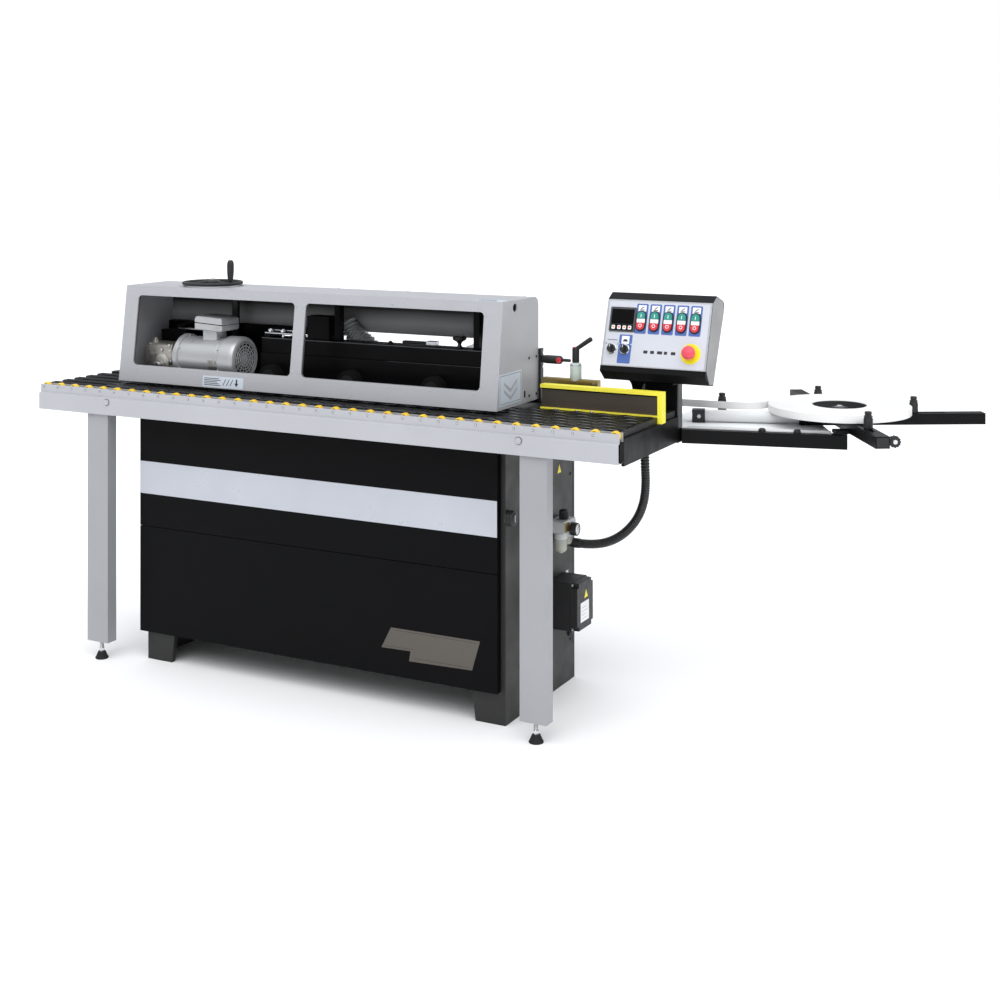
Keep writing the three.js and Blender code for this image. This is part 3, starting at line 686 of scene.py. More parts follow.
def add_deck_ribs():
    ribs = Shape()
    glints = Shape()
    for row in range(6):
        y = 38.5 + row * RIB_PITCH
        wave_row(ribs, y, y + 36, 214, 2040, 1.9 * row)
        rib_highlight_line(glints, y + 5, 1640, 2036, 1.9 * row)
    piece("deck_ribs", ribs, rib_black, smooth=30)
    piece("rib_painted_highlights", glints, rib_highlight_grey, smooth=30)
    bars = Shape()
    for i in range(5):
        y = 44 + i * 56
        for inset in (4, 17):
            bars.prism("x", [(y + inset, 877.9), (y + inset + 1.6, 879.2), (y + inset + 7.4, 879.2),
                (y + inset + 9, 877.9)], -12, 214)
    piece("bar_ribs", bars, rib_black, bevel=0.4)
    screws = Shape()
    for x, y in ((1733, 296), (1798, 296), (1846, 296)):
        screws.lathe("z", [(5.4, 877.9), (5.4, 880.4), (4.4, 881.6), (2, 881.8), (2, 880.6)], x, y,
            20)
    piece("table_screws", screws, ground)
    piece("end_plate_seam", Shape().box(2048.9, 2049.4, 40, 440, 790, 856), seam_black_and_painted_shade)
    end_bolts = Shape()
    for y, z in ((70, 842), (70, 804), (240, 842), (240, 804), (410, 842), (410, 804)):
        end_bolts.lathe("x", [(4.6, 2056.9), (4.6, 2056.98), (0, 2056.99)], y, z, 18)
    piece("end_plate_rivets", end_bolts, black)


def rib_material():
    """Black table sheet, smooth on the crowns."""
    m = Material("embossed_black", 0.3, 0, 0.1)
    m.color((0.004, 0.004, 0.0045), (0.006, 0.006, 0.0065), 8)
    m.rough(0.24, 0.34, 20)
    m.bump(m.noise(300, 2.0), 0.03, 0.0002)
    return m.mat


rib_black = rib_material()
# Painted highlight: light grey strips that stand for the light caught along the ribs' edges.
rib_highlight_grey = painted("rib_painted_highlight", (0.20, 0.20, 0.20), 0.45)


# ---------- cabinet ----------
def add_cabinet_details():
    piece("door_stripe", Shape().prism("y", rounded(349.2, 1651.6, 540, 644, 0.8, 2), 69.9, 70.3),
        stripe_mat, body="upper_door")
    piece("blank_badge", Shape().prism("y", [(1299, 236), (1266, 173), (1366, 175), (1361, 145),
        (1571, 150), (1597, 237)], 69.85, 70.3), badge_mat, bevel=0.1)
    line = Shape()
    line.box(1312, 1588, 69.75, 69.9, 229.5, 230.7)
    line.box(1378, 1564, 69.75, 69.9, 155.5, 156.7)
    line.prism("y", [(1279, 180), (1279.8, 178.8), (1373, 180.7), (1372.4, 182)], 69.75, 69.9)
    piece("badge_lines", line, ink)
    fold = arc(1646, 76.6, 6.1, 270, 360, 6) + [(1652.15, 89), (1646, 89)]
    piece("door_folded_edge", Shape().prism("z", fold, 436, 789.5), edge_black, body="upper_door")
    piece("panel_folded_edge", Shape().prism("z", fold, 94.5, 433), edge_black)
    piece("latch_turn_knob", Shape().lathe("x", [(13, 1694.6), (15, 1693), (22.6, 1692.2),
        (22.9, 1688), (21.4, 1686), (22.9, 1684), (22.9, 1679), (21.4, 1677), (22.9, 1675),
        (22.9, 1669.6)], 100, 592, 48), plastic, body="door_latch_knob", bevel=0.5, replaces=True)
    piece("latch_pointer", Shape().box(1694.0, 1694.95, 98.4, 101.6, 582, 602), ground,
        body="door_latch_knob")
    seams = Shape()
    seams.box(1669.0, 1669.3, 200, 202, 110, 780)
    seams.box(1669.0, 1669.3, 548, 550, 110, 780)
    piece("side_panel_seams", seams, seam_black_and_painted_shade)
    screws = Shape()
    for y, z in ((216, 126), (534, 126), (216, 764), (534, 764), (216, 400), (534, 640)):
        screws.lathe("x", [(5.5, 1669), (5.2, 1670.6), (3.2, 1672), (0, 1672.4)], y, z, 20)
    piece("side_panel_screws", screws, cast_black)
    back = Shape()
    for x0, x1 in ((420, 1010), (1024, 1614)):
        back.prism("y", rounded(x0, x1, 150, 740, 8), 563.2, 563.98)
    piece("rear_covers", back, black, bevel=0.3)
    vents = Shape()
    for row in range(9):
        z = 560 + row * 16
        vents.prism("x", arc(563.3, z, 0.68, 90, -90, 4), 1180, 1450)
    piece("rear_louvres", vents, seam_black_and_painted_shade)


edge_black = painted("folded_edge", (0.032, 0.033, 0.036), 0.32, specular=0.6, grain=800)


# ---------- levelling feet ----------
def add_feet():
    for side, x in (("left", 229.5), ("right", 1798.5)):
        shape = Shape()
        shape.lathe("z", [(20, 0), (20.8, 1.2), (20.8, 4.2), (19, 6), (13, 20), (11.4, 23)], x, 23,
            40)
        shape.use(1)
        threads = [(6.3, 22)]
        for turn in range(16):
            z = 23 + turn * 2.1
            threads += [(6.9, z + 0.5), (6.0, z + 1.55)]
        threads += [(6.4, 57.6)]
        shape.lathe("z", threads, x, 23, 28)
        shape.lathe("z", [(8.6, 26), (8.9, 27), (8.9, 33), (8.6, 34)], x, 23, 6)
        piece(f"level_foot_{side}", shape, [rubber, chrome], body=f"foot_{side}", bevel=0.3,
            replaces=True)


# ---------- hood ----------
HOOD_LEAN, HOOD_RISE = 40, 312  # the front face goes back 40 mm in its 312 mm of height


def front_y(z):
    """Where the hood's sloping front face stands at a height."""
    return 118 + (z - 890) * HOOD_LEAN / HOOD_RISE


def add_hood_details():
    slope = math.atan2(HOOD_LEAN, HOOD_RISE)
    rivets = Shape()
    spots = []
    for x0, x1 in ((270, 897), (938, 1566)):
        for x in (x0 - 9, x1 + 9):
            spots += [(x, 956), (x, 1058), (x, 1160)]
        for step in range(5):
            x = x0 + 20 + (x1 - x0 - 40) * step / 4
            spots += [(x, 934), (x, 1181)]
    for x, z in spots:
        dome(rivets, x, front_y(z), z, 2.6, slope)
    piece("hood_rivets", rivets, ground, body="head")
    for name, x0, x1 in (("left", 270, 897), ("right", 938, 1566)):
        lip = Shape()
        outer, inner = rounded(x0 - 3, x1 + 3, 941, 1174, 16), rounded(x0, x1, 944, 1171, 14)
        lip_ring(lip, outer, inner)
        piece(f"window_lip_{name}", lip, lip_shade_grey, body="head")
    label = Shape()
    label.prism("x", slab(893, 927, 0.15, 0.5), 562, 722)
    label.use(1)
    for row in range(5):
        z = 898 + row * 5.2
        label.prism("x", slab(z, z + 2.2, 0.3, 0.3), 568, 634 - (row % 3) * 7)
    arrow = [(693, 922), (699, 922), (699, 909), (704, 909), (696, 898), (688, 909), (693, 909)]
    put_face(label, arrow, -0.03)
    for k in range(3):
        put_face(label, [(642 + 14 * k, 900), (652 + 14 * k, 920), (655 + 14 * k, 920),
            (645 + 14 * k, 900)], -0.03)
    piece("front_label", label, [label_foil, ink], body="head")
    side = Shape()
    side.prism("x", rounded(132, 278, 900, 993, 2, 2), 1625.9, 1626.35)
    side.use(1)
    frame_line(side, 137, 273, 905, 988, 1.2, 1626.3, 1626.5)
    side.use(2)
    for z in (918, 941):
        side.prism("x", [(163, z + 20), (205, z - 6), (247, z + 20), (247, z + 29), (205, z + 4),
            (163, z + 29)], 1626.3, 1626.5)
    piece("side_label", side, [label_foil, ink, stripe_mat], body="head")
    piece("hood_side_slot", Shape().prism("x", rounded(295, 304, 906, 927, 3.4), 1625.8, 1626.4),
        seam_black_and_painted_shade, body="head")
    screws = Shape()
    for y, z in ((329, 1021), (379, 1021), (329, 908), (379, 908)):
        screws.lathe("x", [(4.4, 1625.8), (4.2, 1627), (2.4, 1628.1), (0, 1628.4)], y, z, 18)
    piece("hood_side_screws", screws, cast_black, body="head")
    top = Shape()
    for x in (250, 420, 1592, 1410, 1180, 920, 690):
        for y in (178, 366):
            top.lathe("z", [(3.4, 1201.8), (3.2, 1202.7), (1.8, 1203.5), (0, 1203.8)], x, y, 18)
    piece("hood_top_rivets", top, ground, body="head")
    piece("handwheel_bearing", Shape().lathe("z", [(30, 1201.9), (30, 1203), (27, 1204.2)], 492,
        262, 40), ground, body="head", bevel=0.3)
    corner = Shape()
    corner.prism("z", rounded(1520, 1612, 176, 216, 1.5, 2), 1201.9, 1202.2)
    corner.use(1)
    for row in range(4):
        corner.box(1526, 1590 - 9 * (row % 2), 182 + 8 * row, 184.4 + 8 * row, 1202.1, 1202.35)
    piece("top_label", corner, [label_foil, ink], body="head")


def back_sheet_shade_material():
    """Grey inside sheet with painted shade: darker towards its top edge, under the hood's roof."""
    m = Material("hood_back_sheet_painted_shade", 0.5, 0, 0.2)
    where = m.nodes.new("ShaderNodeTexCoord")
    split = m.nodes.new("ShaderNodeSeparateXYZ")
    m.links.new(where.outputs["Generated"], split.inputs[0])
    m.links.new(m.mixed(m.ranged(split.outputs["Z"], 0, 1), (0.38, 0.38, 0.386),
        (0.02, 0.02, 0.021)), m.shader.inputs["Base Color"])
    m.rough(0.42, 0.6, 14)
    m.bump(m.noise(700, 2.0), 0.12, 0.0006)
    return m.mat


# Painted shade inside the hood: a back sheet that darkens upwards and a near-black sheet under the
# roof.
def add_hood_painted_shade():
    piece("hood_back_painted_shade", Shape().box(222, 1620, 386, 389.6, 1064, 1172), back_sheet_shade_material(),
        body="head", bevel=0.8)
    piece("hood_roof_shade_sheet", Shape().prism("x", [(163, 1190), (163, 1197.6), (372, 1197.6),
        (389.6, 1180), (389.6, 1172.4), (385, 1172.4), (370, 1190)], 222, 1620), roof_shade_black,
        body="head", bevel=0.8)


# Painted shade: near-black for the sheet under the hood's roof, standing for the shadow there.
roof_shade_black = moulded("hood_roof_painted_shade", (0.012, 0.012, 0.0125), 0.9, 0.1, 700, 0.3)


def dome(shape, x, y, z, r, slope):
    """A rivet head standing on the hood's sloping front."""
    turn = Matrix.Translation((x, y, z)) @ Matrix.Rotation(-slope, 4, "X")
    saved, shape.turn = shape.turn, turn
    shape.lathe("y", [(r, 0.4), (r, -0.3), (r * 0.7, -1.2), (0, -1.6)], 0, 0, 14)
    shape.turn = saved


def slab(z0, z1, proud, sunk):
    """The (y, z) outline of a thin plate that lies on the hood's front."""
    return [(front_y(z0) - proud, z0), (front_y(z1) - proud, z1), (front_y(z1) + sunk, z1),
        (front_y(z0) + sunk, z0)]


def put_face(shape, points, lift):
    """A thin plate with an (x, z) outline on the hood's front."""
    shape.sweep([[(x, front_y(z) - 0.2 + lift, z) for x, z in points],
        [(x, front_y(z) + 0.3, z) for x, z in points]])


def lip_ring(shape, outer, inner):
    """The folded lip round a window, just inside the hood's front sheet."""
    shape.loops([[(x, front_y(z) + depth, z) for x, z in ring]
        for depth, ring in ((4.2, outer), (4.2, inner), (11.0, inner), (11.0, outer))])


def frame_line(shape, a0, a1, b0, b1, w, d0, d1):
    """A thin rectangular outline of width w in the y-z plane."""
    for y0, y1, z0, z1 in ((a0, a1, b0, b0 + w), (a0, a1, b1 - w, b1), (a0, a0 + w, b0, b1),
            (a1 - w, a1, b0, b1)):
        shape.box(d0, d1, y0, y1, z0, z1)


# ---------- feed head ----------
MOTOR_Y, MOTOR_Z = 230, 971


def add_motor():
    m = Shape()
    m.lathe("x", [(56, 403.2), (64, 405), (72.6, 408), (72.6, 421), (70, 423.5), (66, 424.5),
        (66, 566), (67.5, 567.5), (67.5, 572), (66, 573.5), (66, 584), (70, 588), (73.6, 591),
        (73.8, 628), (72.6, 640), (69.5, 646.5), (64, 649.6), (60, 650), (58, 648.6), (58, 640.5)],
        MOTOR_Y, MOTOR_Z, 72)
    m.use(1)
    m.rod("x", 57.6, 640.7, 641.3, MOTOR_Y, MOTOR_Z, 48)
    m.use(0)
    for big in (13, 23, 33, 43, 53):
        m.torus("x", big, 2.1, 646.6, MOTOR_Y, MOTOR_Z, 56, 10)
    for k in range(8):
        a = math.pi * k / 8 + 0.2
        c, s = math.cos(a), math.sin(a)
        m.tube([(646.0, MOTOR_Y - 58 * c, MOTOR_Z - 58 * s), (646.0, MOTOR_Y + 58 * c,
            MOTOR_Z + 58 * s)], 1.7, 8)
    m.lathe("x", [(8.5, 645), (8.5, 648.5), (5, 649.5)], MOTOR_Y, MOTOR_Z, 24)
    m.prism("x", rounded(178, 282, 914.5, 932, 5), 434, 556)
    piece("motor_body", m, [motor_grey, seam_black_and_painted_shade], body="head", bevel=0.6,
        replaces=["feed_motor"])
    bolts = Shape()
    for k in range(6):
        a = math.pi / 6 + k * math.pi / 3
        y, z = MOTOR_Y + 66.5 * math.cos(a), MOTOR_Z + 66.5 * math.sin(a)
        bolts.lathe("x", [(3.4, 578), (3.4, 587.2), (0, 587.4)], y, z, 6)
        bolts.lathe("x", [(4.4, 423), (4.4, 427.5), (3.4, 428.4)], y, z, 6)
    piece("motor_bolts", bolts, ground, body="head")
    plate = Shape(turned(0, MOTOR_Y, MOTOR_Z, 12, "X"))
    for z0, z1 in ((2, 14), (-20, -6)):
        plate.prism("x", [(-66.6, z0), (-66.6, z1), (-60, z1), (-60, z0)], 548, 580)
    piece("motor_plates", plate, [gear_alu], body="head", bevel=0.3)
    piece("motor_drain_plug", Shape().lathe("y", [(4, 164.6), (4.4, 166.5), (4.4, 175)], 532, 967,
        20), plastic, body="head")
    box = Shape()
    outline = [(482, 1065), (588, 1061), (594, 1066), (593, 1099), (588, 1105), (494, 1110.5),
        (484, 1107), (481, 1098)]
    box.prism("y", outline, 179, 271)
    box.prism("z", rounded(500, 558, 197, 253, 6), 1028, 1066)
    piece("terminal_box", box, motor_grey, body="head", bevel=7.0, segments=4)
    piece("terminal_lid_seam", Shape().prism("y", [(480.4, 1087), (481, 1089.6), (592.6, 1083.6),
        (594.4, 1081)], 178.2, 271.8), seam_black_and_painted_shade, body="head", bevel=0.5)
    blank = Shape().prism("y", rounded(560, 584, 1068, 1080, 2), 177.9, 180)
    blank.use(1).prism("y", rounded(563, 581, 1070.4, 1077.6, 1.5), 177.4, 178.4)
    piece("terminal_blank", blank, [motor_grey, gear_alu], body="head", bevel=0.3)


GEAR_SHIFT = turned(30, 0, -16)


def add_gearbox():
    g = Shape(GEAR_SHIFT)
    g.prism("y", rounded(246, 352, 917, 1008, 20), 196, 276)
    g.prism("x", rounded(192, 268, 950, 1028, 18), 240, 346)
    g.lathe("x", [(36, 344), (40, 350), (44.8, 352), (44.8, 369.6)], 230, 987, 48)
    g.lathe("y", [(12.6, 186.3), (30, 186.3), (33, 188), (39.5, 190), (39.5, 198), (46, 200),
        (46, 272), (39.5, 274), (39.5, 283), (33, 285.6), (12.6, 285.6)], 296, 955, 56, hollow=True)
    for k in range(6):
        a = k * math.pi / 3 + 0.3
        x, z = 296 + 52 * math.cos(a), 955 + 52 * math.sin(a)
        g.rod("y", 7.5, 192, 276, x, z, 20)
    for z in (1008, 1018):
        g.box(252, 340, 194, 266, z, z + 4)
    g.lathe("z", [(12, 1024), (12, 1034), (8, 1036), (8, 1042), (0, 1043)], 262, 214, 6)
    g.lathe("x", [(18, 238.3), (22, 240), (22, 252)], 230, 987, 32)
    piece("gearbox_casing", g, gear_alu, body="head", bevel=1.6, segments=3,
        replaces=["worm_gearbox"])
    bolts = Shape(GEAR_SHIFT)
    for k in range(6):
        a = k * math.pi / 3 + 0.3
        x, z = 296 + 52 * math.cos(a), 955 + 52 * math.sin(a)
        bolts.rod("y", 4.6, 187.4, 192.4, x, z, 6)
    for x, z in ((252, 1022), (338, 1022), (252, 1004), (338, 1004)):
        bolts.rod("y", 4, 190, 196, x, z, 6)
    piece("gearbox_bolts", bolts, ground, body="head")
    piece("gearbox_seal", Shape(GEAR_SHIFT).lathe("y", [(12.8, 187.6), (22, 187.6), (22, 188.6),
        (12.8, 188.6)], 296, 955, 40, hollow=True), rubber, body="head")


def add_feed_wheels():
    for n, x in enumerate((760, 1060, 1360), 1):
        w = Shape()
        rim = [(10, 200.4), (33, 200.4), (37.2, 202.2)]
        for k in range(8):
            y = 203 + k * 3.8
            rim += [(38, y + 0.6), (38, y + 2.4), (36.6, y + 3.0), (36.6, y + 3.6)]
        rim += [(37.2, 235), (33, 235.8), (10, 235.8)]
        w.lathe("y", rim, x, 925, 56, hollow=True)
        w.use(1)
        w.lathe("y", [(6, 194.4), (8.8, 196), (8.8, 241.4)], x, 925, 28)
        w.lathe("y", [(8.6, 199.6), (24, 199.6), (24, 201.6), (8.6, 201.6)], x, 925, 40,
            hollow=True)
        piece(f"feed_tread_{n}", w, [dark_rubber, cast_black], body=f"feed_wheel_{n}",
            replaces=True)


def add_beam_details():
    piece("beam_seam", Shape().box(700, 1560, 241.7, 242.1, 990, 992.4), seam_black_and_painted_shade, body="head")
    trim = Shape()
    trim.box(1180, 1558, 241.6, 241.9, 994.6, 995.4)
    trim.box(700, 1558, 249.6, 250.2, 1041.5, 1043.8)
    piece("beam_edge_line", trim, edge_black, body="head")
    rods = Shape()
    for y, z in ((262, 1058), (280, 1066), (300, 1056)):
        rods.rod("x", 3.6, 705, 830, y, z, 16, 0.8)
    for x in (722, 770, 815):
        rods.rod("z", 4.4, 1043, 1072, x, 270, 16, 0.8)
        rods.rod("z", 8, 1062, 1068, x, 270, 6)
    rods.rod("x", 4, 330, 470, 286, 1052, 16, 0.8)
    piece("setting_rods", rods, chrome, body="head")
    blocks = Shape()
    blocks.box(705, 728, 255, 310, 1044, 1056)
    blocks.box(800, 834, 255, 310, 1044, 1052)
    blocks.box(262, 366, 278, 330, 1006, 1046)
    blocks.box(868, 952, 262, 312, 1044, 1120)
    blocks.box(224, 690, 362, 385, 893, 1068)
    blocks.box(690, 905, 362, 385, 1046, 1068)
    blocks.tube([(325, 280, 1058), (372, 280, 1072), (430, 276, 1083)], 4.5, 12)
    piece("head_blocks", blocks, black, body="head", bevel=1.2)
    knobs = Shape()
    knobs.lathe("z", [(9, 1043.8), (9, 1047), (4, 1052), (0, 1054)], 1166, 285, 24)
    knobs.lathe("z", [(11, 1043.8), (6, 1052), (5, 1056), (9, 1063), (20, 1069), (22, 1074),
        (20, 1079), (0, 1080)], 1412, 285, 32)
    knobs.prism("x", rounded(276, 296, 1049, 1057, 3.6), 1214, 1300)
    piece("setting_knobs", knobs, plastic, body="head", bevel=0.6)
    ends = Shape()
    ends.box(1300, 1334, 274, 298, 1048, 1060)
    ends.prism("y", [(1430, 1046), (1476, 1046), (1484, 1056), (1468, 1062), (1440, 1052)], 282,
        296)
    piece("setting_ends", ends, ground, body="head", bevel=1.0)
    path = smooth_path([(962, 352, 1096), (985, 352, 1064), (1016, 352, 1042), (1048, 352, 1022),
        (1072, 352, 990), (1080, 352, 950)], 40)

    def folds(t):
        return 27 + 4.2 * math.sin(2 * math.pi * 15 * t)

    piece("dust_duct", Shape().tube(path, folds, 28), duct_grey, body="head",
        smooth=80)


duct_grey = moulded("duct_plastic", (0.40, 0.41, 0.42), 0.4)


def add_handwheel():
    turn = turned(492, 262, 1206, -8)
    w = Shape(turn)
    w.torus("z", 93.8, 6, 6.1, 0, 0, 96, 18)
    w.lathe("z", [(20, -1.4), (21.8, 0.6), (21.8, 9), (17, 14.4), (12, 15.9)], 0, 0, 40)
    for k in range(3):
        a = k * 2 * math.pi / 3
        c, s = math.cos(a), math.sin(a)
        points = [(14, 9.5), (34, 7.4), (60, 5.6), (91, 6)]
        w.tube([(r * c, r * s, z) for r, z in smooth_pairs(points)], lambda t: 6.4 - 1.6 * t, 14)
    w.lathe("z", [(9, 2), (10.6, 6), (10.6, 12.4), (8, 13)], 82, 0, 28)
    piece("handwheel_rim", w, cast_black, body="handwheel", replaces=True)
    piece("handwheel_nut", Shape(turn).lathe("z", [(7.5, 15.8), (7.5, 20), (5, 21)], 0, 0, 6),
        chrome, body="handwheel", bevel=0.3)
    piece("grip_sleeve", Shape(turn).lathe("z", [(7.6, 13.4), (8.6, 15), (9.2, 24), (10.6, 36),
        (11.4, 52), (11.4, 66), (10.4, 76), (7.4, 82.4), (4, 84.2), (0, 84.7)], 82, 0, 36), plastic,
        body="crank_grip", replaces=True)


def smooth_pairs(points):
    """A smooth curve through (radius, height) pairs."""
    return [(p[0], p[1]) for p in smooth_path([(r, z, 0) for r, z in points], 6)]


# ---------- fence and levers ----------
def add_fence_details():
    piece("fence_gold_foot", Shape().box(1677.4, 2048, 302, 311.6, 881.6, 884.2), gold, bevel=0.5)
    piece("fence_shadow_gap", Shape().box(1677.4, 2048, 311.4, 312.1, 934.5, 939.6), seam_black_and_painted_shade)
    stand = Shape()
    stand.box(1650.2, 1833, 368.2, 391.8, 878.4, 960)
    stand.use(1)
    stand.prism("x", rounded(391.4, 410.8, 878.4, 1043.8, 2), 1627.2, 1635)
    stand.use(2)
    stand.lathe("z", [(17, 955.2), (17.8, 957), (17.8, 1003), (16, 1007.6), (11, 1009.8),
        (0, 1009.9)], 1757, 380, 48)
    stand.use(3)
    for z in (957.5, 1001):
        stand.lathe("z", [(17.7, z), (18, z), (18, z + 3), (17.7, z + 3)], 1757, 380, 48,
            hollow=True)
    stand.prism("y", rounded(1814, 1826, 926, 954, 3), 367.7, 368.3)
    piece("lever_bracket", stand, [gold, cast_black, sight_tube, ground], bevel=0.8,
        replaces=["lever_stand"])
    screws = Shape()
    for z in (990, 1032):
        screws.lathe("x", [(5, 1635), (5, 1637.4), (3, 1638.6), (0, 1638.8)], 402, z, 18)
    piece("bracket_screws", screws, chrome)
    lock = Shape()
    lock.lathe("x", [(9, 1635.4), (11.4, 1638), (12.9, 1650), (12.9, 1694), (11.4, 1699),
        (8.4, 1701.4), (0, 1701.6)], 402, 1011, 32)
    lock.lathe("x", [(5, 1700), (5, 1728), (4, 1729.8)], 402, 1011, 24)
    lock.use(1)
    lock.lathe("y", [(0, 389.4), (7.8, 389.0), (8.2, 390.4), (8.2, 393)], 1695, 1011, 28)
    piece("lock_handle", lock, [plastic, red], body="lock_lever", bevel=0.3, replaces=True)
    clamp = Shape()
    clamp.lathe("z", [(10, 1010.4), (10.9, 1012), (10.9, 1050), (9.6, 1055), (0, 1056)], 1757, 380,
        32)
    start, end = Vector((1757, 380, 1049)), Vector((1808.5, 380, 1083.4))
    mid = start.lerp(end, 0.45)
    clamp.tube([start, start.lerp(mid, 0.5), mid, mid.lerp(end, 0.5), mid.lerp(end, 0.92), end],
        lambda t: 6.2 + 1.4 * t if t < 0.95 else 5.8, 20)
    clamp.use(1)
    clamp.lathe("z", [(7.2, 1055), (6.8, 1056.6), (0, 1056.9)], 1757, 380, 24)
    piece("clamp_handle", clamp, [plastic, red], body="clamp_lever", bevel=0.3, replaces=True)


sight_tube = moulded("sight_tube", (0.52, 0.60, 0.60), 0.15, 0.6)


# ---------- console ----------
CONSOLE_TURN = Matrix.Translation((2010, 390, 1106)) @ Matrix.Rotation(-0.3168, 4, "X")
BUTTON_XS = [-51 + 42.2 * i for i in range(5)]


